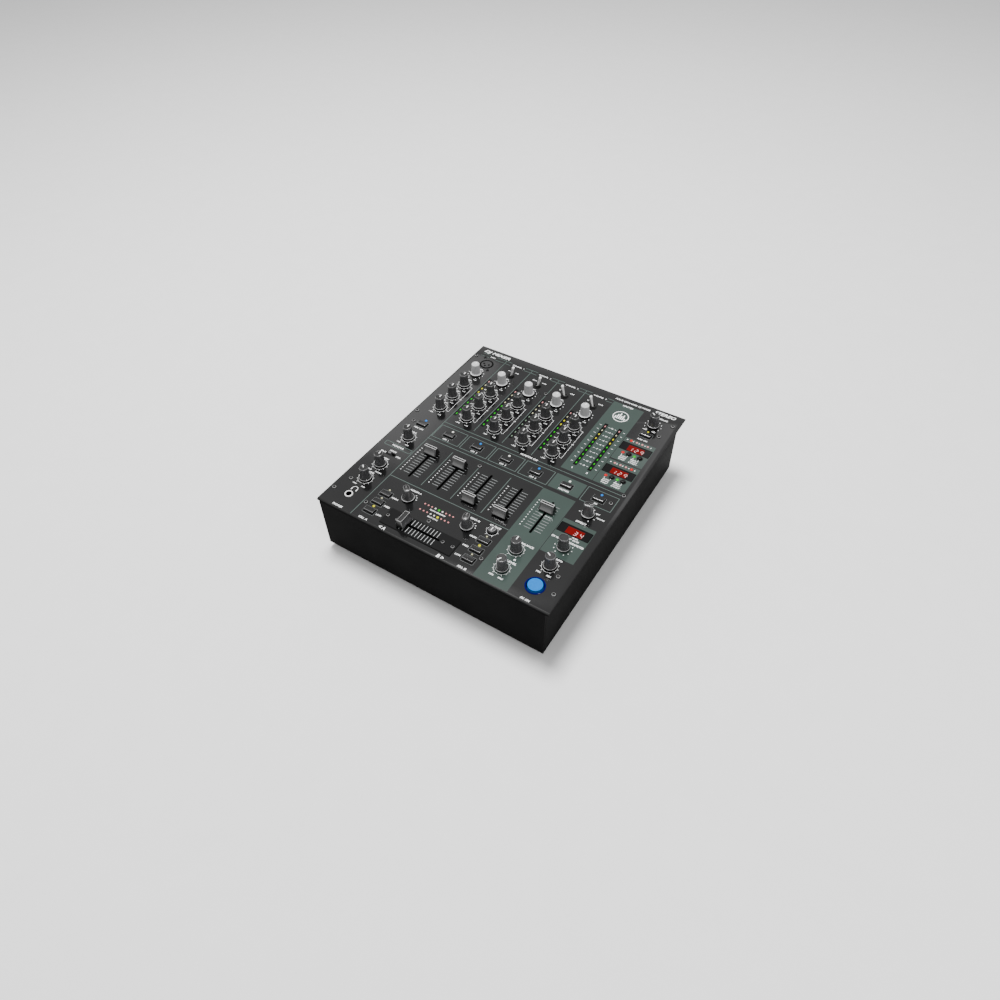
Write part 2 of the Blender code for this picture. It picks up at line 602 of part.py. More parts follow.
def make_keys(name, places, webs, look):
    """Rectangular keys that taper a little above the panel. The first one is the origin."""
    crown = (KEY[0] - 1.2 * MM, KEY[1] - 1.2 * MM)
    first = places[0]
    bm = bmesh.new()
    for place in places:
        centre = (place[0] - first[0], place[1] - first[1])
        rings = [rectangle(KEY, -KEY_DEPTH, centre), rectangle(KEY, 1.2 * MM, centre)]
        add_loft(bm, rings + [rectangle(crown, KEY_HEIGHT, centre)])
    keys = make_object(name, bm, (*first, PANEL_TOP), look=look)
    add_webs(keys, webs, first)


def make_round_keys(name, places, webs, radius, height, sides, look):
    first = places[0]
    bm = bmesh.new()
    for place in places:
        centre = (place[0] - first[0], place[1] - first[1])
        add_pin(bm, radius, sides, centre, -KEY_DEPTH, height)
    keys = make_object(name, bm, (*first, PANEL_TOP), look=look)
    add_webs(keys, webs, first)
    shade(keys)


def make_mode_switch(look):
    """Slide switch: a small cap on a tongue that runs along X."""
    bm = bmesh.new()
    tongue = (3 * MM, 2 * MM)
    rings = [rectangle(tongue, -8 * MM), rectangle(tongue, -3.5 * MM)]
    add_loft(bm, rings + [rectangle((4.5 * MM, 2.6 * MM), -3.5 * MM),
                          rectangle((4.5 * MM, 2.6 * MM), 2.5 * MM)])
    offset = 2 * MM
    make_object("phones_mode_switch", bm, (MODE_SWITCH[0] - offset, MODE_SWITCH[1], PANEL_TOP),
                look=look)


def make_power_switch(look):
    """Rocker that tips about X in its frame on the rear wall."""
    width, height = ROCKER
    half = height / 2
    outline = [(-half, 3.4 * MM), (-half, -1 * MM), (-5 * MM, -4.5 * MM), (5 * MM, -4.5 * MM)]
    outline += [(half, -1 * MM), (half, 0.6 * MM), (0, 1 * MM)]
    bm = bmesh.new()
    sides = (-width / 2, width / 2)
    add_loft(bm, [[Vector((x, y, z)) for z, y in outline[::-1]] for x in sides][::-1])
    bmesh.ops.recalc_face_normals(bm, faces=bm.faces)
    x, z = POWER_SWITCH
    make_object("power_switch", bm, (x, REAR_WALL_Y, z), look=look)


def build():
    clear_scene()
    dark_paint = material("dark_grey_paint", (0.055, 0.055, 0.056), 0.45)
    black_paint = material("black_paint", (0.012, 0.012, 0.012), 0.5)
    plate_paint = material("plate_paint", (0.03, 0.03, 0.031), 0.4)
    rubber = material("rubber", (0.02, 0.02, 0.02), 0.85)
    board = material("circuit_board", (0.02, 0.12, 0.05), 0.5)
    black_plastic = material("black_plastic", (0.018, 0.018, 0.018), 0.4)
    soft_black = material("soft_touch_black", (0.025, 0.025, 0.025), 0.6)
    white_plastic = material("white_plastic", (0.72, 0.72, 0.72), 0.35)
    key_plastic = material("key_plastic", (0.03, 0.03, 0.03), 0.35)
    blue_lens = material("blue_lens", (0.06, 0.35, 1.0), 0.25)
    nickel = material("nickel", (0.75, 0.75, 0.73), 0.2, 1.0)

    make_top_panel(dark_paint)
    make_chassis_tray(black_paint)
    make_crossfader_plate(plate_paint)
    make_feet(rubber)
    make_control_board(board)
    make_phones_jack(nickel)
    make_rear_board(black_plastic)

    gain_radii = (8.2 * MM, 6.4 * MM, 5.4 * MM)
    control_radii = (7.6 * MM, 5.9 * MM, 5.2 * MM)
    for strip, x in STRIPS.items():
        name = f"gain_knob_{strip}"
        make_round_knob(name, (x, GAIN_ROW_Y), gain_radii, GAIN_KNOB_HEIGHT, white_plastic)
        for row, band in enumerate(EQ_BANDS):
            centre = (x, EQ_TOP_ROW_Y - EQ_PITCH * row)
            make_round_knob(f"eq_{band}_knob_{strip}", centre, control_radii, KNOB_HEIGHT, soft_black)
    for name, centre in CONTROL_KNOBS.items():
        make_round_knob(name, centre, control_radii, KNOB_HEIGHT, soft_black)
    for name, (x, y, pointer) in POINTER_KNOBS.items():
        make_pointer_knob(name, x, y, pointer, soft_black)
    curve_radii = (4.9 * MM, 4.6 * MM, 4.2 * MM)
    make_round_knob("crossfader_curve_knob", CURVE_KNOB, curve_radii, 4.5 * MM, soft_black)

    for name, (x, y) in FADERS.items():
        make_fader(name, x, y, black_plastic)
    crossfader_x = CROSSFADER_MIDDLE_X - FADER_TRAVEL / 2
    make_fader("crossfader", crossfader_x, CROSSFADER_Y, black_plastic, along_x=True)
    for index, (centre, lean) in enumerate(zip(toggle_places(), TOGGLE_LEANS), 1):
        make_toggle(f"input_toggle_{index}", centre, lean, nickel)

    make_keys("row_buttons", ROW_KEYS, ROW_WEB, key_plastic)
    make_keys("kill_buttons_a", KILL_A_KEYS, [(KILL_WEB, KILL_A_KEYS[1])], key_plastic)
    make_keys("kill_buttons_b", KILL_B_KEYS, [(KILL_WEB, KILL_B_KEYS[1])], key_plastic)
    make_keys("surround_on_button", [SURROUND_KEY], [], key_plastic)
    beat_height = 2.5 * MM
    make_round_keys("beat_buttons", BEAT_KEYS, BEAT_WEBS, ROUND_KEY_RADIUS, beat_height, 8,
                    key_plastic)
    fx_height = 2.4 * MM
    make_round_keys("fx_on_button", [FX_BUTTON], [], FX_BUTTON_RADIUS, fx_height, 16, blue_lens)
    make_mode_switch(key_plastic)
    make_power_switch(black_plastic)


build()
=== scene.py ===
"""Looks of a four-channel DJ mixer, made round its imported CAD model.

Lengths are in millimetres up to finished_mesh and place_piece, which turn them into metres.
X runs to the right, Y to the back and Z up. Places come from the CAD nodes' boxes where a
node has its own, and from the named lists below where one node holds several pieces.
"""

import math

import bmesh
import bpy
from mathutils import Matrix, Vector


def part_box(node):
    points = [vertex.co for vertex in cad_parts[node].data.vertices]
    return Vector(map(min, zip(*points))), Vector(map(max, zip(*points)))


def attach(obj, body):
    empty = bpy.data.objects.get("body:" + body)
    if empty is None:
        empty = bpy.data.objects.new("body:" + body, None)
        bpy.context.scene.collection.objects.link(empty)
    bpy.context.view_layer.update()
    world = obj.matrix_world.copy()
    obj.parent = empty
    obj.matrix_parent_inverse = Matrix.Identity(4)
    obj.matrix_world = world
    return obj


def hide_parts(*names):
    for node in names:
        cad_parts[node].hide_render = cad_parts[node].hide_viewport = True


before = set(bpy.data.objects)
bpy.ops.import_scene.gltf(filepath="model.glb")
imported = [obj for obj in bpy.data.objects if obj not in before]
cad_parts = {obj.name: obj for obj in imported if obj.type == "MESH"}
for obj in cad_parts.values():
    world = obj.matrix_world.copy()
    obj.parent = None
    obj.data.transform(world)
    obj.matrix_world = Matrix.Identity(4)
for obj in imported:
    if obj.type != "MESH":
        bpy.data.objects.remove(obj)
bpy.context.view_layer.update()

MM = 0.001


def limits(node):
    """Lowest and highest corner of a CAD node, in millimetres."""
    low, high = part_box(node)
    return low / MM, high / MM


def middle(node):
    low, high = limits(node)
    return (low + high) / 2


def spot(node):
    """Where a CAD node's middle is on the panel."""
    return tuple(middle(node).xy)


# Sizes and places taken from the frame.
PANEL_LOW, PANEL_HIGH = limits("top_panel")
TRAY_LOW, TRAY_HIGH = limits("chassis_tray")
PLATE_LOW, PLATE_HIGH = limits("crossfader_plate")
TOP = PANEL_HIGH.z
STRIPS = ("mic", "ch1", "ch2", "ch3", "ch4")
EQ_BANDS = ("high", "mid", "low")
STRIP_X = [middle(f"gain_knob_{strip}").x for strip in STRIPS]
CHANNEL_X = STRIP_X[1:]
MIC_X = STRIP_X[0]
MASTER_X = middle("master_fader").x
FX_X = middle("fx_select_knob").x
COLUMNS = STRIP_X + [MASTER_X, FX_X]
GAIN_Y = middle("gain_knob_mic").y
EQ_Y = [middle(f"eq_{band}_knob_mic").y for band in EQ_BANDS]

# Sizes that the CAD model holds inside merged nodes.
SHEET = 2.0
FOLD_RADIUS = 3.5
TRAY_SHEET = 1.5
FLANGE = 5.0
FRONT_LIP = 14.0
SHAFT_RADIUS = 2.9
SHAFT_LENGTH = 13.7
KNOB_LIFT = 1.0
KNOB_HEIGHT = 18.3
GAIN_KNOB_HEIGHT = 17.5
FADER_TRAVEL = 44.5
FADER_MIDDLE_Y = -67.3
FADER_SLOT = (2.6, 55.5)
KEY_ROW_Y = -7.5
KEY = (13.6, 7.6)
KEY_HEIGHT = 2.6
KEY_DEPTH = 8.0
BEAT_KEY_RADIUS = 2.5
WINDOW = (40.6, 14.6)
METER_WINDOW = (4.6, 90.0)
METER_Y = 75.2
TOGGLE_Y = 142.0
TOGGLE_TILT = math.radians(14)
TOGGLE_PIVOT = 1.5
BOARD_TOP = TOP - 16.0
KILL_ROWS_Y = (-133.5, -149.0, -164.5)
KILL_A_X = -92.8
KILL_B_X = 47.8
SURROUND_KEY = (FX_X, 126.0)
BEAT_ROWS_Y = (82.0, 34.0)
BEAT_LAMPS_X = (117.3, 133.0)
BEAT_KEYS_X = (125.5, 140.5)
BEAT_KEYS = [(x, y) for y in BEAT_ROWS_Y for x in BEAT_KEYS_X]
BEAT_BARS_Y = (107.0, 59.0)
FX_BUTTON = (FX_X, -156.5)
WINDOWS = [(FX_X, y) for y in (94.5, 46.5, -67.3)]
METER_X = [x - 17.8 for x in CHANNEL_X]
MASTER_METER_X = (75.7, 96.0)
MODE_SWITCH = (MIC_X, -74.5)
MIC_SOCKET = (-130.9, 147.3)
PHONES_JACK = (MIC_X, -156.5)
CROSSFADER_Y = -160.0
CROSSFADER_MIDDLE_X = -22.7
PANEL_SCREWS = [
    (-155, 157), (151.5, 159.5), (-24, 132), (144, 132), (-154.5, 12), (151.7, 13),
    (-146, -7.5), (144, -6), (-23, -34.5), (-146.5, -134.5), (144, -133.5), (-154, -157),
    (-105, -156.5), (59.3, -156.5), (151.5, -156.5), (-23, -142)]
PLATE_SCREWS = [(CROSSFADER_MIDDLE_X + x, CROSSFADER_Y) for x in (-46, -32.3, 32.3, 46)]
PHONO_PAIRS = [(x, z) for x in (-106, -78, -50, -22) for z in (58, 24)]
PHONO_APART = 6.5
XLR_OUTPUTS = [(34, 42), (66, 42)]
MAINS_INLET = (128, 36)
INLET_SIZE = (29, 22)
ROCKER = (98, 36)
ROCKER_SIZE = (13.0, 19.0)
# The panel's openings, as radii and as lengths across.
KNOB_HOLE = 4.0
SCREW_HOLE = 2.1
BEAT_KEY_HOLE = 3.1
FX_BUTTON_HOLE = 10.0
MIC_SOCKET_HOLE = 9.9
PHONES_JACK_HOLE = 5.6
KEY_MOUTH = (KEY[0] + 1, KEY[1] + 1)
CROSSFADER_MOUTH = (72, 12)
MODE_SWITCH_MOUTH = (12.5, 3.5)

ROW_KEYS = [(x, KEY_ROW_Y) for x in COLUMNS]
KILL_A_KEYS = [(KILL_A_X, y) for y in KILL_ROWS_Y]
KILL_B_KEYS = [(KILL_B_X, y) for y in KILL_ROWS_Y]
FLAT_KEYS = ROW_KEYS + KILL_A_KEYS + KILL_B_KEYS + [SURROUND_KEY]
TOGGLES = [(x + 1.5, TOGGLE_Y) for x in CHANNEL_X]
ROUND_KNOBS = ("talkover_knob", "phones_mix_knob", "phones_level_knob", "balance_knob",
               "master_level_knob", "surround_knob", "fx_parameter_encoder", "fx_depth_knob")
# The way each pointer looks at rest, in degrees from +Y towards -X.
POINTS = {"surround_knob": 60, "fx_depth_knob": 62, "master_level_knob": 150,
          "phones_level_knob": 45}
POINTER_KNOBS = {"assign_knob_a": 52, "assign_knob_b": 12, "fx_select_knob": -76}

# Turns a shape that is drawn lying flat to face out of the rear wall. Its x is mirrored.
REAR = Matrix(((-1, 0, 0, 0), (0, 0, 1, TRAY_HIGH.y), (0, 1, 0, 0), (0, 0, 0, 1)))

# Heights of the print. Areas, lines and words lie at steps that keep them from flickering.
PRINT_BOTTOM = TOP - 0.03
AREA_TOP = TOP + 0.02
LINE_TOP = TOP + 0.035
WHITE_TOP = TOP + 0.05
# Heights of the capitals.
SMALL_TEXT = 1.75
LABEL_TEXT = 2.3
TITLE_TEXT = 2.7


# ---------------------------------------------------------------- materials

def wire(material, socket, source):
    material.node_tree.links.new(source, socket)


def noise(material, scale, detail=3.0, stretch=(1, 1, 1)):
    """Noise in the piece's own space; scale is in waves per metre."""
    nodes = material.node_tree.nodes
    place = nodes.new("ShaderNodeTexCoord")
    mapping = nodes.new("ShaderNodeMapping")
    mapping.inputs["Scale"].default_value = stretch
    texture = nodes.new("ShaderNodeTexNoise")
    texture.inputs["Scale"].default_value = scale
    texture.inputs["Detail"].default_value = detail
    wire(material, mapping.inputs["Vector"], place.outputs["Object"])
    wire(material, texture.inputs["Vector"], mapping.outputs["Vector"])
    return texture.outputs["Fac"]


def spread(material, source, low, high):
    """Maps a noise's middle stretch to low..high."""
    node = material.node_tree.nodes.new("ShaderNodeMapRange")
    node.inputs["From Min"].default_value = 0.3
    node.inputs["From Max"].default_value = 0.7
    node.inputs["To Min"].default_value = low
    node.inputs["To Max"].default_value = high
    wire(material, node.inputs["Value"], source)
    return node.outputs["Result"]


def blend_colours(material, factor, first, second):
    node = material.node_tree.nodes.new("ShaderNodeMix")
    node.data_type = "RGBA"
    node.inputs["A"].default_value = (*first, 1)
    node.inputs["B"].default_value = (*second, 1)
    wire(material, node.inputs["Factor"], factor)
    return node.outputs["Result"]


def relief(material, shader, heights, strength, depth):
    node = material.node_tree.nodes.new("ShaderNodeBump")
    node.inputs["Strength"].default_value = strength
    node.inputs["Distance"].default_value = depth
    wire(material, node.inputs["Height"], heights)
    wire(material, shader.inputs["Normal"], node.outputs["Normal"])


def finish(name, colour, roughness, grain, texture=0.3, mottle=0.18, metallic=0.0, specular=0.5,
           stretch=(1, 1, 1), coat=0.0):
    """Paint, plastic, rubber or metal: colour, gloss and relief all vary over the surface.

    A colour of one number is a grey. grain is the relief's scale in waves per metre, and
    texture the relief's strength.
    """
    if isinstance(colour, float):
        colour = (colour, colour, colour)
    material = bpy.data.materials.new(name)
    material.use_nodes = True
    shader = material.node_tree.nodes["Principled BSDF"]
    shader.inputs["Metallic"].default_value = metallic
    shader.inputs["Specular IOR Level"].default_value = specular
    shader.inputs["Coat Weight"].default_value = coat
    fine = noise(material, grain, 4, stretch)
    broad = noise(material, 28, 3, stretch)
    darker = [channel * (1 - mottle) for channel in colour]
    lighter = [min(1, channel * (1 + mottle)) for channel in colour]
    tone = spread(material, broad, 0.0, 1.0)
    wire(material, shader.inputs["Base Color"], blend_colours(material, tone, darker, lighter))
    gloss = spread(material, fine, roughness * 0.88, min(1, roughness * 1.14))
    wire(material, shader.inputs["Roughness"], gloss)
    relief(material, shader, fine, texture, 0.00008)
    return material


def lamp(name, colour, glow, body=0.1, roughness=0.35):
    """Lens of a lamp. The glow is a little uneven, as the chip behind it makes it."""
    dark = [channel * body for channel in colour]
    material = finish(name, dark, roughness, 900, 0.1, 0.1, specular=0.15)
    shader = material.node_tree.nodes["Principled BSDF"]
    uneven = spread(material, noise(material, 500), 0.0, 1.0)
    dimmer = [channel * 0.8 for channel in colour]
    wire(material, shader.inputs["Emission Color"],
         blend_colours(material, uneven, dimmer, colour))
    shader.inputs["Emission Strength"].default_value = glow
    return material


LOOKS = {
    # Case.
    "panel": finish("panel_powder_coat", (0.0038, 0.0038, 0.0040), 0.13, 2600, 0.03, specular=0.78),
    "fold": finish("panel_fold", 0.010, 0.5, 2600, 0.08, specular=0.2),
    "case": finish("case_powder_coat", 0.0050, 0.6, 2600, 0.3, specular=0.012),
    "plate": finish("plate_satin", (0.0030, 0.0030, 0.0032), 0.15, 3200, 0.04, specular=0.35),
    "rubber": finish("foot_rubber", 0.008, 0.8, 2800, 0.5, 0.3, specular=0.3),
    # Print.
    "green_print": finish("green_print", (0.0262, 0.0418, 0.0356), 0.15, 3000, 0.03, 0.06,
                          specular=0.75),
    "line_print": finish("line_print", (0.052, 0.075, 0.067), 0.5, 3000, 0.15, 0.06, specular=0.3),
    # Grey print of the fader scales, also used for the painted highlight round the key bezels.
    "grey_print_and_bezel_highlight": finish("scale_print_and_bezel_highlight", (0.19, 0.20, 0.20), 0.5, 3000, 0.15, 0.06, specular=0.3),
    "plate_print": finish("plate_scale_print", (0.32, 0.33, 0.33), 0.5, 3000, 0.15, 0.06),
    "white_print": finish("white_print", (0.93, 0.94, 0.94), 0.5, 3000, 0.15, 0.04),
    "pointer": finish("pointer_print", 0.93, 0.4, 2500, 0.1, 0.04),
    # Controls.
    # Knob bodies are painted several times lighter than knob tops, a painted light that stands in for
    # light on their flanks; top and flank are one plastic.
    "knob": finish("knob_soft_touch", (0.054, 0.054, 0.056), 0.26, 3500, 0.2, specular=0.6),
    "knob_top": finish("knob_top", 0.009, 0.3, 2500, 0.1, specular=0.4),
    # Mid grey: the mode switch cap's own plastic, and on knob shoulders, grip tops, key edges and
    # fader cap corners a painted highlight.
    "knob_rim": finish("knob_rim", (0.12, 0.12, 0.122), 0.25, 1500, 0.1, 0.1, coat=0.5),
    # Light grey on knob chamfers that face the camera: a painted highlight.
    "knob_edge": finish("knob_edge", (0.46, 0.46, 0.465), 0.25, 1500, 0.1, 0.1, coat=0.4),
    "white_knob": finish("white_knob", (0.46, 0.46, 0.465), 0.38, 2200, 0.15, 0.06),
    # Bright white: print on the white knobs' pointers, and a painted highlight on their shoulders and
    # skirt chamfers.
    "white_print_and_edge_highlight": finish("white_knob_edge", 0.92, 0.25, 1500, 0.1, 0.04),
    "cap": finish("fader_cap", 0.006, 0.3, 2400, 0.12, specular=0.4),
    # Fader cap slopes are painted far lighter than the cap's body, a painted light where the slopes
    # catch it.
    "cap_slope_painted_light": finish("fader_cap_slope_painted_light", 0.115, 0.3, 2400, 0.08, coat=0.4),
    # Light lines either side of a fader cap's groove: partly a printed line, partly a painted edge
    # highlight.
    "cap_edge": finish("fader_cap_line_and_edge_highlight", 0.38, 0.3, 1500, 0.1, 0.1),
    "key_top": finish("key_top", (0.0045, 0.0045, 0.0047), 0.16, 2400, 0.04, specular=0.75),
    "key": finish("key_plastic", 0.0035, 0.38, 2400, 0.15, specular=0.2),
    "black": finish("black_plastic", 0.0035, 0.42, 1800, 0.2, specular=0.25),
    "window": finish("smoked_window", (0.0015, 0.0015, 0.0018), 0.14, 700, 0.03, specular=0.3),
    # Metal, sockets and boards.
    "nickel": finish("nickel", (0.62, 0.62, 0.60), 0.24, 600, 0.08, 0.08, 1.0,
                     stretch=(1, 1, 0.15)),
    # Light grey ring on the screw heads: a painted highlight.
    "screw_highlight_ring": finish("screw_highlight_ring_paint", 0.27, 0.34, 1600, 0.2, 0.2, 0.2),
    "dark_metal": finish("dark_metal", 0.03, 0.4, 1600, 0.2, 0.3, 0.8),
    "lever": finish("lever_chrome", (0.93, 0.93, 0.92), 0.2, 900, 0.05, 0.03, 0.35),
    "board": finish("solder_mask", (0.008, 0.060, 0.024), 0.35, 900, 0.4, 0.35),
    "copper": finish("transformer_winding", (0.33, 0.12, 0.03), 0.4, 1500, 0.6, 0.3, 0.9,
                     stretch=(0.1, 0.1, 3)),
    "red_ring": finish("phono_red", (0.30, 0.008, 0.008), 0.4, 1600, 0.2, 0.12),
    "white_ring": finish("phono_white", (0.55, 0.55, 0.53), 0.4, 1600, 0.2, 0.08),
    # Lamps.
    "red_window": lamp("red_filter", (1.0, 0.002, 0.004), 0.26, 0.02, 0.2),
    "digits": lamp("digit_segments", (1.0, 0.62, 0.60), 1.6),
    "green_lit": lamp("lamp_green_lit", (0.0, 1.0, 0.0), 0.62),
    "yellow_lit": lamp("lamp_yellow_lit", (1.0, 0.95, 0.0), 1.1),
    "red_lit": lamp("lamp_red_lit", (1.0, 0.0, 0.0), 0.95),
    "blue_lit": lamp("lamp_blue_lit", (0.0, 0.30, 1.0), 1.0),
    "green_dim": lamp("lamp_green_dim", (0.13, 0.19, 0.13), 0.03, 1.0),
    "yellow_dim": lamp("lamp_yellow_dim", (0.42, 0.41, 0.26), 0.05, 1.0),
    "red_dim": lamp("lamp_red_dim", (0.52, 0.21, 0.21), 0.05, 1.0),
    "white_dim": lamp("lamp_white_dim", (0.70, 0.71, 0.66), 0.1, 1.0),
    "fx_lens": lamp("fx_lens", (0.0, 0.30, 1.0), 1.25, 0.01, 0.8),
    # The FX lens's side glows dimmer than its top: painted shade.
    "fx_lens_shaded_side": lamp("fx_lens_side_painted_shade", (0.0, 0.17, 0.60), 0.3, 0.05),
    "fx_ring": lamp("fx_ring", (0.0, 0.0, 1.0), 0.10, 0.03, 0.12),
}


# ---------------------------------------------------------------- mesh helpers

def circle(radius, height, sides=48, centre=(0, 0)):
    return oval(radius, radius, height, sides, centre)


def oval(radius_x, radius_y, height, sides=48, centre=(0, 0)):
    ring = []
    for step in range(sides):
        angle = 2 * math.pi * (step + 0.5) / sides
        x = centre[0] + radius_x * math.cos(angle)
        y = centre[1] + radius_y * math.sin(angle)
        ring.append(Vector((x, y, height)))
    return ring


def rounded(size, radius, height, centre=(0, 0), steps=4):
    """Rectangle with round corners, counter-clockwise from its front right corner."""
    ring = []
    for corner, (side_x, side_y) in enumerate(((1, -1), (1, 1), (-1, 1), (-1, -1))):
        for step in range(steps + 1):
            angle = math.pi / 2 * (corner - 1 + step / steps)
            x = centre[0] + side_x * (size[0] / 2 - radius) + radius * math.cos(angle)
            y = centre[1] + side_y * (size[1] / 2 - radius) + radius * math.sin(angle)
            ring.append(Vector((x, y, height)))
    return ring


def fluted(radius, height, flutes=20, depth=0.4, samples=8):
    """Circle with narrow grooves."""
    ring = []
    for step in range(flutes * samples):
        angle = 2 * math.pi * step / (flutes * samples)
        groove = max(0.0, math.cos(flutes * angle + math.pi)) ** 1.5
        reach = radius - depth * groove
        ring.append(Vector((-reach * math.sin(angle), reach * math.cos(angle), height)))
    return ring


def turned(stations, base=0.0, centre=(0, 0), sides=48):
    """Rings of a turned shape through (radius, height over the base) stations."""
    return [circle(radius, base + height, sides, centre) for radius, height in stations]


def squared(stations, base=0.0, centre=(0, 0)):
    """Rings of a block through (size, corner radius, height over the base) stations."""
    return [rounded(size, radius, base + height, centre) for size, radius, height in stations]


def join(bm, low, high, look):
    """Band of faces between two loops of vertices."""
    for here in range(len(low)):
        after = (here + 1) % len(low)
        bm.faces.new((low[here], low[after], high[after], high[here])).material_index = look


def make_loops(bm, rings, place):
    return [[bm.verts.new(place @ p if place else p) for p in ring] for ring in rings]


def add_loft(bm, rings, looks=None, place=None):
    """Closed solid through stacked rings. looks numbers the material of each band and cap."""
    loops = make_loops(bm, rings, place)
    looks = looks or [0] * (len(rings) + 1)
    bm.faces.new(loops[0][::-1]).material_index = looks[0]
    for band, (low, high) in enumerate(zip(loops, loops[1:]), 1):
        join(bm, low, high, looks[band])
    bm.faces.new(loops[-1]).material_index = looks[-1]


def add_rear(bm, rings, looks=None):
    """Loft that stands out of the rear wall."""
    add_loft(bm, rings, looks, REAR)


def add_tube(bm, outlines, look=0, place=None):
    """Closed ring-shaped solid: the last outline joins the first again."""
    loops = make_loops(bm, outlines, place)
    for low, high in zip(loops, loops[1:] + loops[:1]):
        join(bm, low, high, look)


def add_slab(bm, size, centre, bottom, top, radius=0.6, edge=0.0, look=0, place=None):
    """Upright block with round corners and, where edge is given, a chamfered top."""
    rings = [rounded(size, radius, bottom, centre)]
    if edge:
        inner = (size[0] - 2 * edge, size[1] - 2 * edge)
        rings.append(rounded(size, radius, top - edge, centre))
        rings.append(rounded(inner, max(0.05, radius - edge), top, centre))
    else:
        rings.append(rounded(size, radius, top, centre))
    add_loft(bm, rings, [look] * (len(rings) + 1), place)


def add_frame(bm, outer, inner, centre, bottom, top, radius=1.0, edge=0.2, look=0, place=None):
    """Flat rectangular ring with a chamfered top."""
    outer_in = (outer[0] - 2 * edge, outer[1] - 2 * edge)
    inner_out = (inner[0] + 2 * edge, inner[1] + 2 * edge)
    corner = max(0.2, radius - (outer[0] - inner[0]) / 2)
    outlines = squared((
        (outer, radius, bottom), (outer, radius, top - edge), (outer_in, radius, top),
        (inner_out, corner, top), (inner, corner, top - edge), (inner, corner, bottom)), 0, centre)
    add_tube(bm, outlines, look, place)


def add_washer(bm, inner, outer, centre, bottom, top, sides=48, edge=0.0, look=0, place=None):
    """Flat round ring, with a chamfered top where edge is given."""
    mouth = [(outer - edge, top), (inner + edge, top)] if edge else [(outer, top)]
    stations = [(outer, bottom), (outer, top - edge), *mouth, (inner, top - edge), (inner, bottom)]
    add_tube(bm, turned(stations, 0, centre, sides), look, place)


def add_box(bm, low, high, edge=0.0):
    """Box between two corners, with every edge bevelled where edge is given."""
    made = bmesh.ops.create_cube(bm, size=1)["verts"]
    size = Vector(high) - Vector(low)
    centre = (Vector(high) + Vector(low)) / 2
    matrix = Matrix.Translation(centre) @ Matrix.Diagonal((*size, 1))
    bmesh.ops.transform(bm, matrix=matrix, verts=made)
    if edge:
        edges = list({e for v in made for e in v.link_edges})
        bmesh.ops.bevel(bm, geom=edges, offset=edge, segments=3, profile=0.5, affect="EDGES")


def finished_mesh(name, bm, looks, sharp=32):
    """Turns a mesh in millimetres into one in metres, with its materials and its shading."""
    bmesh.ops.recalc_face_normals(bm, faces=bm.faces)
    bmesh.ops.scale(bm, vec=(MM, MM, MM), verts=bm.verts)
    mesh = bpy.data.meshes.new(name)
    bm.to_mesh(mesh)
    bm.free()
    for look in looks:
        mesh.materials.append(LOOKS[look])
    mesh.shade_smooth()
    mesh.set_sharp_from_angle(angle=math.radians(sharp))
    return mesh


def place_piece(name, mesh, body="case", replaces=(), place=(0, 0, 0), turn=0.0,
                axis="Z"):
    """Puts a mesh in the scene as a piece that rides on a body. Pieces may share a mesh."""
    item = bpy.data.objects.new(name, mesh)
    item.location = Vector(place) * MM
    item.rotation_euler["XYZ".index(axis)] = turn
    bpy.context.scene.collection.objects.link(item)
    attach(item, body)
    if replaces:
        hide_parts(*replaces)


def make_piece(name, bm, looks, body="case", replaces=(), place=(0, 0, 0), sharp=32):
    place_piece(name, finished_mesh(name, bm, looks, sharp), body, replaces, place)


def raw_object(name, bm):
    """Helper object in millimetres, for a Boolean."""
    mesh = bpy.data.meshes.new(name)
    bmesh.ops.recalc_face_normals(bm, faces=bm.faces)
    bm.to_mesh(mesh)
    bm.free()
    item = bpy.data.objects.new(name, mesh)
    bpy.context.scene.collection.objects.link(item)
    return item


def carve(bm, cutter_bm):
    """Takes one mesh away from another. The result is a new mesh to go on with."""
    target, cutter = raw_object("carved", bm), raw_object("cutter", cutter_bm)
    step = target.modifiers.new("carve", "BOOLEAN")
    step.operation = "DIFFERENCE"
    step.object = cutter
    step.solver = "EXACT"
    result = bmesh.new()
    result.from_object(target, bpy.context.evaluated_depsgraph_get())
    for item in (target, cutter):
        bpy.data.objects.remove(item, do_unlink=True)
    return result


def cut_boxes(bm, *boxes):
    """Takes boxes away one after another. Each is given as add_box takes it."""
    for box in boxes:
        cutter = bmesh.new()
        add_box(cutter, *box)
        bm = carve(bm, cutter)
    return bm


# ---------------------------------------------------------------- lettering and print

WORDS = {}
# How high the font's capitals are, as a share of its size.
FONT_CAPITAL = 0.73


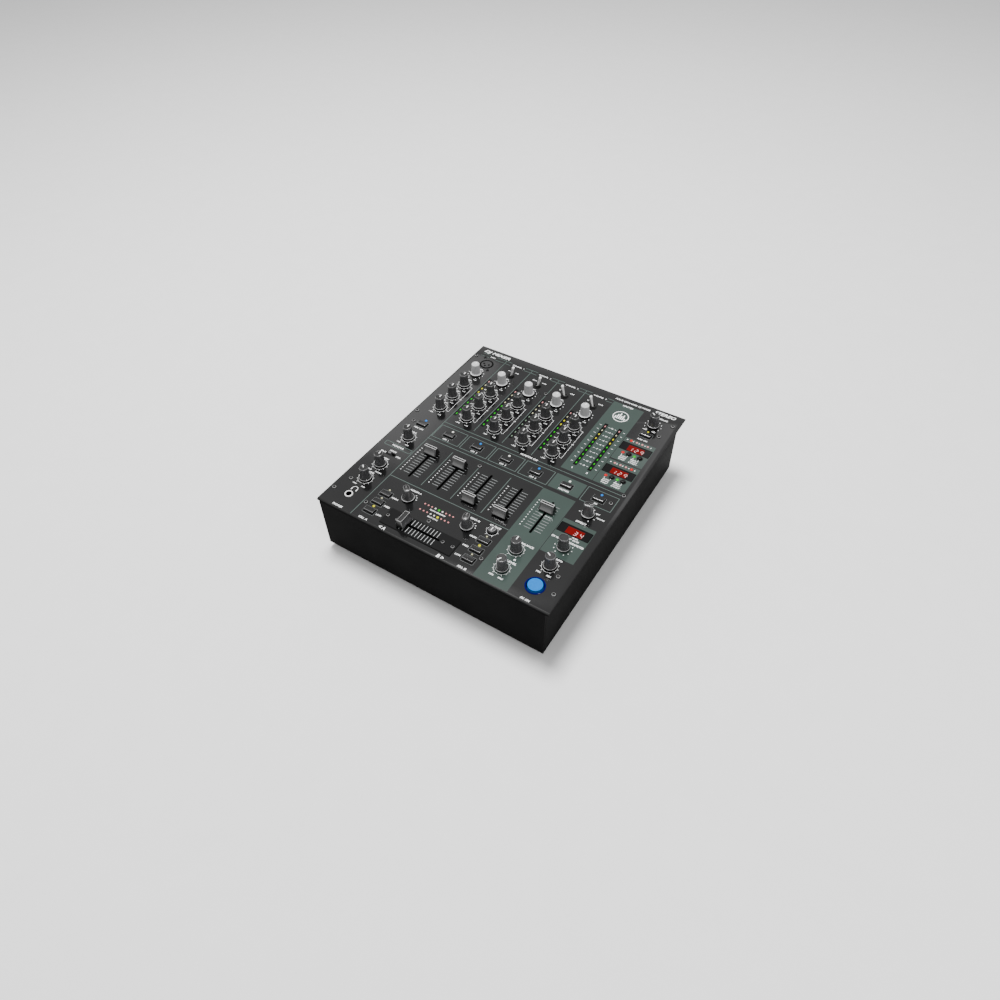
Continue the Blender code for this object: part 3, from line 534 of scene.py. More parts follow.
def word_prism(text, slant):
    """Closed letters one unit deep, cap height one, starting at x 0. Kept for reuse."""
    if (text, slant) not in WORDS:
        curve = bpy.data.curves.new("word", "FONT")
        curve.body = text
        curve.shear = slant
        curve.offset = 0.018
        curve.resolution_u = 2
        item = bpy.data.objects.new("word", curve)
        bpy.context.scene.collection.objects.link(item)
        flat = item.evaluated_get(bpy.context.evaluated_depsgraph_get())
        bm = bmesh.new()
        bm.from_mesh(flat.to_mesh())
        flat.to_mesh_clear()
        bpy.data.objects.remove(item, do_unlink=True)
        bmesh.ops.remove_doubles(bm, verts=bm.verts, dist=0.0005)
        top = bmesh.ops.extrude_face_region(bm, geom=bm.faces)
        raised = [part for part in top["geom"] if isinstance(part, bmesh.types.BMVert)]
        bmesh.ops.translate(bm, vec=(0, 0, 1), verts=raised)
        xs = [v.co.x for v in bm.verts]
        bmesh.ops.translate(bm, vec=(-min(xs), 0, 0), verts=bm.verts)
        bmesh.ops.scale(bm, vec=(1 / FONT_CAPITAL, 1 / FONT_CAPITAL, 1), verts=bm.verts)
        mesh = bpy.data.meshes.new("word")
        bm.to_mesh(mesh)
        bm.free()
        WORDS[text, slant] = (mesh, (max(xs) - min(xs)) / FONT_CAPITAL)
    return WORDS[text, slant]


def add_word(bm, text, centre, height, width=None, bottom=PRINT_BOTTOM, top=WHITE_TOP, slant=0.15,
             place=None):
    """Word centred on a point, with its letters squeezed to width where that is given."""
    mesh, natural = word_prism(text, slant)
    across = (width or natural * height) / natural
    start = len(bm.verts)
    bm.from_mesh(mesh)
    bm.verts.ensure_lookup_table()
    left = Vector((centre[0] - across * natural / 2, centre[1] - height / 2, bottom))
    matrix = Matrix.Translation(left) @ Matrix.Diagonal((across, height, top - bottom, 1))
    matrix = place @ matrix if place else matrix
    bmesh.ops.transform(bm, matrix=matrix, verts=bm.verts[start:])


def add_words(bm, rows):
    """Words given as (text, x, y, height, width)."""
    for text, x, y, height, width in rows:
        add_word(bm, text, (x, y), height, width)


def add_bar(bm, start, end, width, top=WHITE_TOP, bottom=PRINT_BOTTOM):
    """Printed stroke between two points, square at its ends."""
    start, end = Vector(start), Vector(end)
    along = (end - start).normalized()
    across = Vector((-along.y, along.x)) * width / 2
    corners = (start - across, end - across, end + across, start + across)
    add_loft(bm, [[Vector((*corner, height)) for corner in corners] for height in (bottom, top)])


def add_ring(bm, centre, inner, outer):
    """Printed ring."""
    add_tube(bm, turned(((outer, PRINT_BOTTOM), (outer, WHITE_TOP), (inner, WHITE_TOP),
                         (inner, PRINT_BOTTOM)), 0, centre, 64))


def add_arc(bm, centre, inner, outer, start, end, steps=24):
    """Printed arc from start to end, in degrees from +Y towards -X."""
    quads = []
    for step in range(steps + 1):
        angle = start + (end - start) * step / steps
        near, far = polar(centre, inner, angle), polar(centre, outer, angle)
        quads.append([(*near, PRINT_BOTTOM), (*far, PRINT_BOTTOM), (*far, WHITE_TOP),
                      (*near, WHITE_TOP)])
    loops = make_loops(bm, quads, None)
    bm.faces.new(loops[0])
    bm.faces.new(loops[-1][::-1])
    for low, high in zip(loops, loops[1:]):
        join(bm, low, high, 0)


def polar(centre, radius, degrees):
    """Point round a centre, in degrees from +Y towards -X."""
    angle = math.radians(degrees)
    return (centre[0] - radius * math.sin(angle), centre[1] + radius * math.cos(angle))


# ---------------------------------------------------------------- case

def knob_places():
    nodes = [f"gain_knob_{strip}" for strip in STRIPS]
    nodes += [f"eq_{band}_knob_{strip}" for band in EQ_BANDS for strip in STRIPS]
    nodes += list(ROUND_KNOBS) + list(POINTER_KNOBS) + ["crossfader_curve_knob"]
    return [spot(node) for node in nodes]


def panel_openings():
    """Everything that goes through the panel. The mouths widen, which leaves chamfers."""
    round_holes = [(place, KNOB_HOLE) for place in knob_places() + TOGGLES]
    round_holes += [(place, SCREW_HOLE) for place in PANEL_SCREWS + PLATE_SCREWS[::3]]
    round_holes += [(place, BEAT_KEY_HOLE) for place in BEAT_KEYS]
    round_holes += [(FX_BUTTON, FX_BUTTON_HOLE), (MIC_SOCKET, MIC_SOCKET_HOLE),
                    (PHONES_JACK, PHONES_JACK_HOLE)]
    square_holes = [(place, KEY_MOUTH, 0.6) for place in FLAT_KEYS]
    square_holes += [(place, WINDOW, 0.8) for place in WINDOWS]
    square_holes += [((x, METER_Y), METER_WINDOW, 0.8) for x in (*METER_X, *MASTER_METER_X)]
    square_holes += [((x, FADER_MIDDLE_Y), FADER_SLOT, 1.25) for x in (*CHANNEL_X, MASTER_X)]
    square_holes += [((CROSSFADER_MIDDLE_X, CROSSFADER_Y), CROSSFADER_MOUTH, 1.0)]
    square_holes += [(MODE_SWITCH, MODE_SWITCH_MOUTH, 0.6)]
    flare = 0.25
    levels = ((TOP - 6, 0), (TOP - flare, 0), (TOP + flare, 2 * flare))
    bm = bmesh.new()
    for place, radius in round_holes:
        add_loft(bm, turned([(radius + grow, z) for z, grow in levels], 0, place, 32))
    for (x, y), (width, depth), corner in square_holes:
        add_loft(bm, squared([((width + 2 * grow, depth + 2 * grow), corner, z)
                              for z, grow in levels], 0, (x, y)))
    return bm


def panel_profile(steps=10):
    """Outline of the folded sheet as (y, z), from its rear edge over the fold and back."""
    def fold(radius):
        centre = (PANEL_LOW.y + FOLD_RADIUS, TOP - FOLD_RADIUS)
        angles = [math.pi / 2 * (1 + step / steps) for step in range(steps + 1)]
        return [(centre[0] + radius * math.cos(a), centre[1] + radius * math.sin(a)) for a in angles]
    front, rear, foot = PANEL_LOW.y, PANEL_HIGH.y, PANEL_LOW.z
    return ([(rear, TOP)] + fold(FOLD_RADIUS) + [(front, foot), (front + SHEET, foot)]
            + fold(FOLD_RADIUS - SHEET)[::-1] + [(rear, TOP - SHEET)])


def make_panel():
    """Top sheet with its folded front: grey on top, black from the fold down."""
    bm = bmesh.new()
    sides = (PANEL_LOW.x, PANEL_HIGH.x)
    add_loft(bm, [[Vector((x, y, z)) for y, z in panel_profile()] for x in sides])
    bmesh.ops.recalc_face_normals(bm, faces=bm.faces)
    rims = [e for e in bm.edges if all(v.co.z > TOP - SHEET - 0.1 for v in e.verts)
            and (abs(e.verts[0].co.x - e.verts[1].co.x) < 0.1 or e.verts[0].co.y > 0)]
    bmesh.ops.bevel(bm, geom=rims, offset=0.35, segments=2, profile=0.5, affect="EDGES",
                    clamp_overlap=True)
    notches = bmesh.new()
    for side in (-1, 1):
        inner, outer = side * TRAY_HIGH.x, side * (PANEL_HIGH.x + 1)
        low = (min(inner, outer), PANEL_LOW.y - 1, 0)
        add_box(notches, low, (max(inner, outer), PANEL_LOW.y + 6, TOP - SHEET))
    bm = carve(carve(bm, notches), panel_openings())
    top, side, bend = range(3)
    for face in bm.faces:
        centre = face.calc_center_median()
        front = face.normal.y < -0.75 and centre.y < PANEL_LOW.y + FOLD_RADIUS
        bent = face.normal.y < -0.01 and abs(face.normal.x) < 0.01 and not front
        bent = bent and centre.z > TOP - FOLD_RADIUS
        face.material_index = top if face.normal.z > 0.999 else bend if bent else side
    make_piece("panel", bm, ("panel", "case", "fold"), replaces=["top_panel"])


def make_tray():
    """Folded tray: bottom, sides, rear wall, top flanges and a low front lip."""
    bm = bmesh.new()
    add_box(bm, TRAY_LOW, TRAY_HIGH, 0.7)
    inside = TRAY_HIGH.x - TRAY_SHEET
    mouth = inside - FLANGE
    back = TRAY_HIGH.y - TRAY_SHEET
    front, foot, top = TRAY_LOW.y, TRAY_LOW.z, TRAY_HIGH.z
    bm = cut_boxes(
        bm,
        ((-inside, front + TRAY_SHEET, foot + TRAY_SHEET), (inside, back, top - TRAY_SHEET), 0.5),
        ((-mouth, front - 5, top - 5), (mouth, back - FLANGE, top + 5)),
        ((-inside, front - 5, foot + FRONT_LIP), (inside, front + 3, top + 5)),
        ((PANEL_LOW.x, front - 5, TOP - FOLD_RADIUS - 1), (PANEL_HIGH.x, front + 2, TOP)))
    cutters = bmesh.new()
    depths = (-6, 6)
    for x, z in PHONO_PAIRS:
        add_rear(cutters, [rounded((25, 13), 1.5, y, (-x, z)) for y in depths])
    for x, z in XLR_OUTPUTS:
        add_rear(cutters, [circle(11.4, y, 48, (-x, z)) for y in depths])
    for (x, z), (width, height) in ((MAINS_INLET, INLET_SIZE), (ROCKER, ROCKER_SIZE)):
        add_rear(cutters, [rounded((width + 3, height + 3), 1, y, (-x, z)) for y in depths])
    make_piece("tray", carve(bm, cutters), ("case",),
               replaces=["chassis_tray"])


def make_crossfader_plate():
    """Strip under the crossfader, with its slot and its screw holes."""
    width, depth, _ = PLATE_HIGH - PLATE_LOW
    centre = (middle("crossfader_plate").x, CROSSFADER_Y)
    edge = 0.5
    high = PLATE_HIGH.z
    bm = bmesh.new()
    add_loft(bm, squared((((width, depth), 0.8, TOP + 0.03), ((width, depth), 0.8, high - edge),
                          ((width - 2 * edge, depth - 2 * edge), 0.6, high)), 0, centre))
    cutters = bmesh.new()
    levels = (TOP - 1, high + 1)
    slot = (FADER_SLOT[1], FADER_SLOT[0])
    add_loft(cutters, [rounded(slot, 1.25, z, centre) for z in levels])
    for place in PLATE_SCREWS:
        add_loft(cutters, [circle(SCREW_HOLE, z, 24, place) for z in levels])
    make_piece("crossfader_cover", carve(bm, cutters), ("plate",),
               replaces=["crossfader_plate"])


def add_screw(bm, centre, bottom, radius=2.75, height=1.5):
    """Low domed head with a six-sided recess, and a light ring on the dome's shoulder that is a
    painted highlight.
    """
    def hexagon(reach, z):
        corners = circle(reach, z, 6)
        ring = []
        for here in range(6):
            for step in range(8):
                point = corners[here].lerp(corners[(here + 1) % 6], step / 8)
                ring.append(Vector((centre[0] + point.x, centre[1] + point.y, z)))
        return ring[-4:] + ring[:-4]
    dome = ((1, 0.0), (1, 0.35), (0.93, 0.85), (0.83, 1.15), (0.65, 1.42), (0.61, height))
    rings = turned([(radius * share, z) for share, z in dome], bottom, centre)
    rings += [hexagon(1.5, bottom + height - 0.15), hexagon(1.4, bottom + 0.45)]
    # Look 1 on the dome's shoulder is the painted highlight ring.
    add_loft(bm, rings, [0, 0, 0, 0, 1, 2, 2, 2, 2])


def make_screws():
    bm = bmesh.new()
    for place in PANEL_SCREWS:
        add_screw(bm, place, TOP - 0.2)
    for place in PLATE_SCREWS:
        add_screw(bm, place, PLATE_HIGH.z - 0.2, 2.5)
    make_piece("panel_screws", bm, ("dark_metal", "screw_highlight_ring", "black"), sharp=25)


def make_feet():
    """Rubber feet, each with a hollow in its sole."""
    hollow = ((3.2, 2.2), (3.2, 0.5), (3.7, 0))
    for node in ("foot_front_left", "foot_front_right", "foot_rear_left", "foot_rear_right"):
        low, high = limits(node)
        radius, height = (high.x - low.x) / 2, high.z - low.z
        outside = ((radius - 1.3, 0), (radius - 0.5, 0.4), (radius - 0.2, 1.2),
                   (radius, height - 0.6), (radius - 0.5, height))
        bm = bmesh.new()
        add_loft(bm, turned(hollow + outside, sides=64))
        make_piece(node.replace("foot", "rubber_foot"), bm, ("rubber",),
                   replaces=[node], place=(*spot(node), low.z))


# ---------------------------------------------------------------- rear side

def make_phono_sockets():
    """Pairs of sockets: nickel sleeves round white and red insulators, on a black block."""
    blocks, sleeves, cores = bmesh.new(), bmesh.new(), bmesh.new()
    for x, z in PHONO_PAIRS:
        add_slab(blocks, (24.4, 12.4), (-x, z), -14, 0.5, 1.2, 0.4, place=REAR)
        for side in (-1, 1):
            place = (-x + side * PHONO_APART, z)
            add_washer(sleeves, 3.3, 4.2, place, -3, 8.9, 40, 0.25, place=REAR)
            add_washer(sleeves, 3.3, 5.2, place, 0.3, 1.3, 40, 0.2, place=REAR)
            add_washer(cores, 1.7, 3.35, place, -2, 7.6, 40, 0.2, look=int(side > 0), place=REAR)
    make_piece("phono_blocks", blocks, ("black",))
    make_piece("phono_sleeves", sleeves, ("nickel",))
    make_piece("phono_cores", cores, ("white_ring", "red_ring"))


def make_outputs():
    """Two three-pin sockets, the mains inlet and the rocker's frame."""
    bm = bmesh.new()
    for x, z in XLR_OUTPUTS:
        place = (-x, z)
        shell = ((11, -18), (11, 0.6), (10.6, 1), (9.4, 1), (9.2, 0.8), (9.2, -14))
        add_rear(bm, turned(shell, 0, place, 64))
        add_rear(bm, [rounded((2, 1.2), 0.3, y, (-x, z - 8.8)) for y in (-14.2, 0)])
        for angle in (0, 120, 240):
            pin = ((1.1, -14.5), (1.1, -4.5), (0.7, -4))
            add_rear(bm, turned(pin, 0, polar(place, 4.2, angle), 20), [1] * 4)
    make_piece("output_sockets", bm, ("black", "nickel"))
    bm = bmesh.new()
    x, z = MAINS_INLET
    add_rear(bm, squared((
        (INLET_SIZE, 2, -20), (INLET_SIZE, 2, 1.1), ((28.2, 21.2), 1.8, 1.5),
        ((24.6, 16.6), 3.4, 1.5), ((24, 16), 3.2, 1.1), ((24, 16), 3.2, -15)), 0, (-x, z)))
    blade = (((2.1, 4), 0.3, -15.5), ((2.1, 4), 0.3, -5.5), ((1.2, 3), 0.2, -5))
    for offset_x, offset_z in ((-7, 2), (0, -2), (7, 2)):
        add_rear(bm, squared(blade, 0, (-x + offset_x, z + offset_z)), [1] * 4)
    make_piece("mains_socket", bm, ("black", "nickel"))
    bm = bmesh.new()
    x, z = ROCKER
    add_frame(bm, (15.4, 21.4), (13.6, 19.6), (-x, z), -8, 1, 1.0, 0.25, place=REAR)
    make_piece("rocker_frame", bm, ("black",))


def make_supply():
    """Socket board and the supply's deck with its transformer and capacitors."""
    board_y = TRAY_HIGH.y - 18
    deck = 15.8
    deck_top = deck + 1.62
    transformer = (100, 78)
    bm = bmesh.new()
    add_box(bm, (-124, board_y - 1.6, deck - 1), (146, board_y, 66), 0.15)
    add_box(bm, (58, 50, deck), (146, board_y - 1.7, deck + 1.6), 0.15)
    for x in (63, 141):
        for y in (55, 138):
            add_loft(bm, turned(((3, 9.8), (3, deck - 0.02)), 0, (x, y), 24), [1] * 3)
    add_slab(bm, (46, 40), transformer, deck_top, deck + 8, 2, 0.5, look=1)
    add_slab(bm, (34, 40), transformer, deck + 8.02, deck + 36, 2, 0.8, look=2)
    can = ((7.6, 0), (8, 0.6), (8, 22), (7.8, 23), (7.2, 24), (6.9, 24), (6.6, 23.6))
    for x in (74, 126):
        add_loft(bm, turned(can, deck_top, (x, 115), 40), [1] * 6 + [3, 3])
    make_piece("supply_board", bm, ("board", "black", "copper", "nickel"),
               replaces=["rear_board"])


# ---------------------------------------------------------------- inside and fittings

def make_control_board():
    """Circuit board with metal-cased potentiometers, fader tracks and key switches."""
    bm = bmesh.new()
    add_box(bm, (-140, -172, BOARD_TOP - 1.6), (150, 158, BOARD_TOP), 0.15)
    base = BOARD_TOP + 0.02
    pot_top = BOARD_TOP + 7.9
    for place in knob_places():
        add_slab(bm, (11, 11), place, base, pot_top, 0.8, 0.4, look=1)
        add_washer(bm, 3.2, 3.8, place, pot_top, TOP - SHEET - 0.3, 24, look=2)
    rail, length, apart = 2.6, 62, 3.2
    track_top = TOP - SHEET - 3.2
    rails = [((rail, length), (x + side * apart, FADER_MIDDLE_Y))
             for x in (*CHANNEL_X, MASTER_X) for side in (-1, 1)]
    rails += [((length, rail), (CROSSFADER_MIDDLE_X, CROSSFADER_Y + side * apart))
              for side in (-1, 1)]
    for size, place in rails:
        add_slab(bm, size, place, base, track_top, 0.5, 0.3, look=1)
    for place in FLAT_KEYS + BEAT_KEYS + [FX_BUTTON]:
        add_slab(bm, (5, 5), place, base, TOP - KEY_DEPTH - 1.9, 0.4, 0.2, look=1)
    for place in TOGGLES:
        add_slab(bm, (8, 8), place, base, TOP - SHEET - 3, 0.6, 0.3, look=1)
    add_frame(bm, (16, 7), (10, 3), MODE_SWITCH, base, TOP - SHEET - 4, 0.5, 0.2, look=1)
    make_piece("switch_board", bm, ("board", "dark_metal", "nickel"),
               replaces=["control_board"])


def make_toggle_bushings():
    """Threaded bushings with their nuts and a black seal."""
    nut_bottom, nut_top = TOP + 0.47, TOP + 1.8
    bm = bmesh.new()
    for place in TOGGLES:
        add_washer(bm, 2.9, 5.6, place, TOP, TOP + 0.45, 48, 0.12, 1)
        nut = ((4.7, nut_bottom), (4.7, nut_top), (2.9, nut_top), (2.9, nut_bottom))
        add_tube(bm, turned(nut, 0, place, 6))
        for thread in range(3):
            z = nut_top + 0.25 * thread
            add_washer(bm, 2.7, 3.5, place, z, z + 0.24, 40, 0.08)
    make_piece("toggle_nuts", bm, ("dark_metal", "black"), sharp=25)


def make_mic_socket():
    """Black ring, a nearly flush face with three contact holes, and two cross-head screws."""
    x, y = MIC_SOCKET
    bm = bmesh.new()
    add_washer(bm, 7.9, 9.8, MIC_SOCKET, TOP - 14, TOP + 0.6, 72, 0.3)
    make_piece("mic_socket_ring", bm, ("case",))
    face, holes = bmesh.new(), bmesh.new()
    add_loft(face, turned(((7.85, -13), (7.85, 0.15)), TOP, MIC_SOCKET, 72))
    for hole in ((x - 4.0, y - 0.2), (x - 0.6, y - 3.8), (x + 3.9, y - 0.1)):
        add_loft(holes, turned(((1.5, -10), (1.5, 1)), TOP, hole, 24))
    face = carve(face, holes)
    for part in face.faces:
        part.material_index = int(part.calc_center_median().z > TOP)
    make_piece("mic_socket_face", face, ("case", "panel"))
    bm = bmesh.new()
    for centre in ((x - 10.1, y + 12.6), (x + 9.1, y - 11.7)):
        add_loft(bm, turned(((2.3, -0.1), (2.3, 0.3), (2.0, 0.75), (1.2, 0.95)), TOP, centre, 40))
        for angle in (45, 135):
            ends = [polar(centre, 2.1, angle), polar(centre, 2.1, angle + 180)]
            add_bar(bm, *ends, 0.8, TOP + 1.0, TOP + 0.6)
            bm.faces.ensure_lookup_table()
            for side in bm.faces[-6:]:
                side.material_index = 1
    make_piece("mic_socket_screws", bm, ("panel", "case"), sharp=25)


def make_phones_jack():
    """Nickel sleeve with a black bore."""
    outside = ((5.2, -26), (5.2, 0.25), (5.15, 0.7), (4.9, 1), (4.0, 1))
    bore = ((3.8, 0.8), (3.3, 0.5), (3.25, -24))
    bm = bmesh.new()
    add_loft(bm, turned(outside + bore, TOP, PHONES_JACK, 64), [0] * 6 + [1] * 3)
    make_piece("phones_socket", bm, ("lever", "black"),
               replaces=["phones_jack"])


def make_bezels():
    """Raised frames round the flat keys, rings round the round ones, and the slot's lip."""
    frame_size = (16.4, 10.4)
    bottom = TOP - 0.1
    bm = bmesh.new()
    for place in FLAT_KEYS:
        add_frame(bm, frame_size, KEY_MOUTH, place, bottom, TOP + 0.5, 1.2, 0.2)
    for place in BEAT_KEYS:
        add_washer(bm, 2.9, 3.9, place, bottom, TOP + 0.4, 40, 0.15)
    add_frame(bm, (14.2, 5.2), MODE_SWITCH_MOUTH, MODE_SWITCH, bottom, TOP + 0.35, 1.0, 0.15)
    make_piece("key_bezels", bm, ("black",))
    # Thin light rings round the key bezels' outer edges, in the scale's grey: a painted highlight.
    bm = bmesh.new()
    for place in FLAT_KEYS:
        add_frame(bm, (16.9, 10.9), (16.42, 10.42), place, bottom, TOP + 0.3, 1.4, 0.08)
    make_piece("key_bezel_highlight_rings", bm, ("grey_print_and_bezel_highlight",))
    bm = bmesh.new()
    add_washer(bm, 10.0, 11.7, FX_BUTTON, bottom, TOP + 0.9, 96, 0.4)
    make_piece("fx_button_ring", bm, ("fx_ring",))


SEGMENTS = {"1": "bc", "2": "abged", "3": "abgcd", "4": "fgbc", "9": "abcfg"}


def add_digit(bm, figure, centre, size, bottom, top):
    """Figure of seven slanted bars."""
    half_x, half_y = size[0] / 2, size[1] / 2
    ends = {"a": ((-1, 1), (1, 1)), "b": ((1, 1), (1, 0)), "c": ((1, 0), (1, -1)),
            "d": ((-1, -1), (1, -1)), "e": ((-1, 0), (-1, -1)), "f": ((-1, 1), (-1, 0)),
            "g": ((-1, 0), (1, 0))}
    shift = Vector(centre)
    slant, gap, width = 0.18, 0.5, 0.65
    for name in SEGMENTS[figure]:
        start, end = [Vector((x * half_x + slant * y * half_y, y * half_y)) for x, y in ends[name]]
        inset = (end - start).normalized() * gap
        add_bar(bm, start + inset + shift, end - inset + shift, width, top, bottom)


def make_displays():
    """Smoked panes with a red filter and three seven-bar figures each."""
    panes, filters, figures = bmesh.new(), bmesh.new(), bmesh.new()
    for place, reading in zip(WINDOWS, ("129", "129", " 34")):
        add_slab(panes, (40.0, 14.0), place, TOP - 1.6, TOP - 0.25, 0.7, 0.15)
        centre = (place[0] + 0.5, place[1] - 0.5)
        add_slab(filters, (21.4, 10.4), centre, TOP - 0.4, TOP - 0.17, 0.3, 0.05)
        for slot, figure in enumerate(reading):
            if figure != " ":
                spot = (place[0] - 5.2 + 7.2 * slot, place[1] - 1.7)
                add_digit(figures, figure, spot, (3.2, 5.8), TOP - 0.3, TOP - 0.1)
    make_piece("display_panes", panes, ("window",))
    make_piece("display_filters", filters, ("red_window",))
    make_piece("display_figures", figures, ("digits",))


# ---------------------------------------------------------------- lamps

LAMP_LOOKS = ("green_lit", "yellow_lit", "red_lit", "blue_lit", "green_dim", "yellow_dim",
              "red_dim", "white_dim")
METER_STEP = 8.83
METER_FIRST_Y = 35.5
METER_ROWS = [METER_FIRST_Y + METER_STEP * place for place in range(10)]
# Highest lit lamp of each meter, counted from 0. The first six are green, the next three yellow.
METER_READINGS = dict(zip((*METER_X, *MASTER_METER_X), (7, 5, -1, 7, 7, 7)))


def meter_colour(place, lit):
    colour = "green" if place < 6 else "yellow" if place < 9 else "red"
    return f"{colour}_{'lit' if place <= lit else 'dim'}"


def make_lamps():
    """Meter lamps behind the panes, and domes beside the keys and in the beat rows."""
    lamps = {look: bmesh.new() for look in LAMP_LOOKS}
    profile = ((1.0, -0.3), (1.0, 0.15), (0.9, 0.45), (0.65, 0.7), (0.3, 0.82))

    def dome(look, place, radius):
        add_loft(lamps[look], turned([(radius * share, z) for share, z in profile], TOP, place, 24))

    def lamp_row(places, lit, look, dim, radius, dim_radius):
        """Domes of which one is lit. dim gives the others' look by their number."""
        for number, place in enumerate(places):
            if number == lit:
                dome(look, place, radius)
            else:
                dome(dim[number], place, dim_radius)

    strips = bmesh.new()
    for x, lit in METER_READINGS.items():
        add_slab(strips, (4.4, 89.6), (x, METER_Y), TOP - 1.4, TOP - 0.5, 0.6, 0.1)
        for place, y in enumerate(METER_ROWS):
            look = meter_colour(place, lit)
            add_slab(lamps[look], (1.6, 2.9), (x, y), TOP - 0.6, TOP - 0.1, 0.4, 0.2)
    make_piece("meter_strips", strips, ("window",))

    for number, x in enumerate(COLUMNS):
        dome("white_dim" if number % 2 else "blue_lit", (x, 1), 1.6)
    kill_lamps = [[(x, y) for y in (-126, -141.3, -156.5)] for x in (-93, 47.2)]
    for places, lit in zip(kill_lamps, (2, 1)):
        lamp_row(places, lit, "yellow_lit", ["yellow_dim"] * 3, 1.5, 1.2)
    dome("yellow_lit", (FX_X - 0.3, 133.5), 1.15)
    sync_dim = ["red_dim"] * 3 + ["white_dim"] * 3 + ["red_dim"] * 3
    for y, lit, look in ((-121.5, 4, "green_lit"), (-131.5, 5, "yellow_lit")):
        places = [(-23 + 5.06 * place, y) for place in range(-4, 5)]
        lamp_row(places, lit, look, sync_dim, 1.5, 1.15)
    for y, lit in zip(BEAT_BARS_Y, (0, 3)):
        places = [(117.3 + 7.6 * place, y) for place in range(4)]
        lamp_row(places, lit, "red_lit", ["red_dim"] * 4, 1.9, 1.5)
    for y in BEAT_ROWS_Y:
        for look, x in zip(("red_lit", "green_lit"), BEAT_LAMPS_X):
            dome(look, (x, y), 1.9)
    for look, bm in lamps.items():
        make_piece(f"lamps_{look}", bm, (look,))


# ---------------------------------------------------------------- panel print

def corners_to_block(low, high):
    """Size and centre of the rectangle between two corners."""
    size = (high[0] - low[0], high[1] - low[1])
    return size, ((high[0] + low[0]) / 2, (high[1] + low[1]) / 2)


def add_outline(bm, low, high, width, top, radius=0.8):
    """Printed line round a rectangle; low and high are its outer corners."""
    outer, centre = corners_to_block(low, high)
    inner = (outer[0] - 2 * width, outer[1] - 2 * width)
    corner = max(0.2, radius - width)
    add_tube(bm, squared(((outer, radius, PRINT_BOTTOM), (outer, radius, top),
                          (inner, corner, top), (inner, corner, PRINT_BOTTOM)), 0, centre))


def make_green_areas():
    areas = [((63, 17.5), (107, 168)), ((65, -19), (106.5, 6.5)), ((63, -179.5), (107, -24.5)),
             ((107.6, 66), (150, 110.5)), ((107.6, 17.5), (150, 63.5)), ((107.6, -110.5), (150, -54))]
    bm = bmesh.new()
    for low, high in areas:
        size, centre = corners_to_block(low, high)
        add_loft(bm, [rounded(size, 0.6, z, centre) for z in (PRINT_BOTTOM, AREA_TOP)])
    bm = carve(bm, panel_openings())
    make_piece("print_green", bm, ("green_print",))


def make_lines():
    """Grey-green lines that part the channels and frame the key row."""
    bm = bmesh.new()
    width = 0.9
    strokes = [((-109.5, -180), (-109.5, 168)), ((-109, -104.4), (62.5, -104.4)),
               ((-109, -24.8), (62.5, -24.8)), ((-109, 12.2), (5.5, 12.2)),
               ((34, 12.2), (149, 12.2))]
    # The header's double line stops short of each strip's name.
    starts = [-150, -125.6] + [x + 11 for x in CHANNEL_X]
    ends = [-136.4] + [x - 12 for x in CHANNEL_X] + [62.5]
    strokes += [((left, y), (right, y)) for left, right in zip(starts, ends)
                for y in (162.4, 168.4)]
    for x, high in ((-66.2, -31), (-22.7, -38), (20.8, -31)):
        strokes += [((x, 17), (x, 167.8)), ((x, -99), (x, high))]
    for start, end in strokes:
        add_bar(bm, start, end, width, LINE_TOP)
    for left, right in ((-108.6, -67.2), (-64.8, -23.8), (-21.4, 19.6), (22.2, 63.1), (108.5, 150)):
        add_outline(bm, (left, -19.6), (right, 6.4), width, LINE_TOP)
    add_outline(bm, (-152.5, -63), (-111, -55.5), width, LINE_TOP, 1.6)
    make_piece("print_lines", bm, ("line_print",))


def print_headers(bm):
    add_word(bm, "DJ MIXER", (-129.2, 174.7), 5.4, 43, slant=0.3)
    add_word(bm, "FOUR CHANNEL DJ MIXER", (87.5, 174.6), TITLE_TEXT, 51, slant=0.25)
    add_word(bm, "STEREO", (134, 175.8), 5.6, 30, slant=0.3)
    add_words(bm, (("MIC", -131, 165.4, LABEL_TEXT, 8), ("MASTER", 84.5, 165.8, TITLE_TEXT, 15),
                   ("SURROUND", 135.2, 165.8, TITLE_TEXT, 13.5)))
    for number, x in enumerate(CHANNEL_X, 1):
        add_words(bm, (("CHANNEL", x - 1.6, 165.5, LABEL_TEXT, 15),
                       (str(number), x + 9.3, 165.5, LABEL_TEXT, None)))
    add_words(bm, (
        ("MONITOR", 16.6, 12.4, TITLE_TEXT, 17), ("CUE", 29.9, 12.4, TITLE_TEXT, 6.8),
        ("MIC", -134.6, -16, LABEL_TEXT, 7.5), ("ON", -127, -16, LABEL_TEXT, 5.5),
        ("MASTER", 85.4, -15.6, LABEL_TEXT, 14.6), ("FX", 128.8, -15.4, LABEL_TEXT, 4.6)))
    for number, x in enumerate(CHANNEL_X, 1):
        add_words(bm, (("CH", x - 1.3, -16, LABEL_TEXT, 5.6),
                       (str(number), x + 4.4, -16, LABEL_TEXT, None)))


def add_ticks(bm, centre, near, far, angles, width):
    """Strokes that point away from a knob."""
    for angle in angles:
        add_bar(bm, polar(centre, near, angle), polar(centre, far, angle), width)


def add_dial(bm, centre, reach=9.3, step=30, end=150):
    """Ring with ticks round a knob. The two end ticks are longer."""
    add_ring(bm, centre, reach - 0.1, reach + 0.1)
    for angle in range(-end, end + 1, step):
        length = 2.3 if abs(angle) == end else 1.5
        add_ticks(bm, centre, reach + 0.1, reach + length, [angle], 0.33)


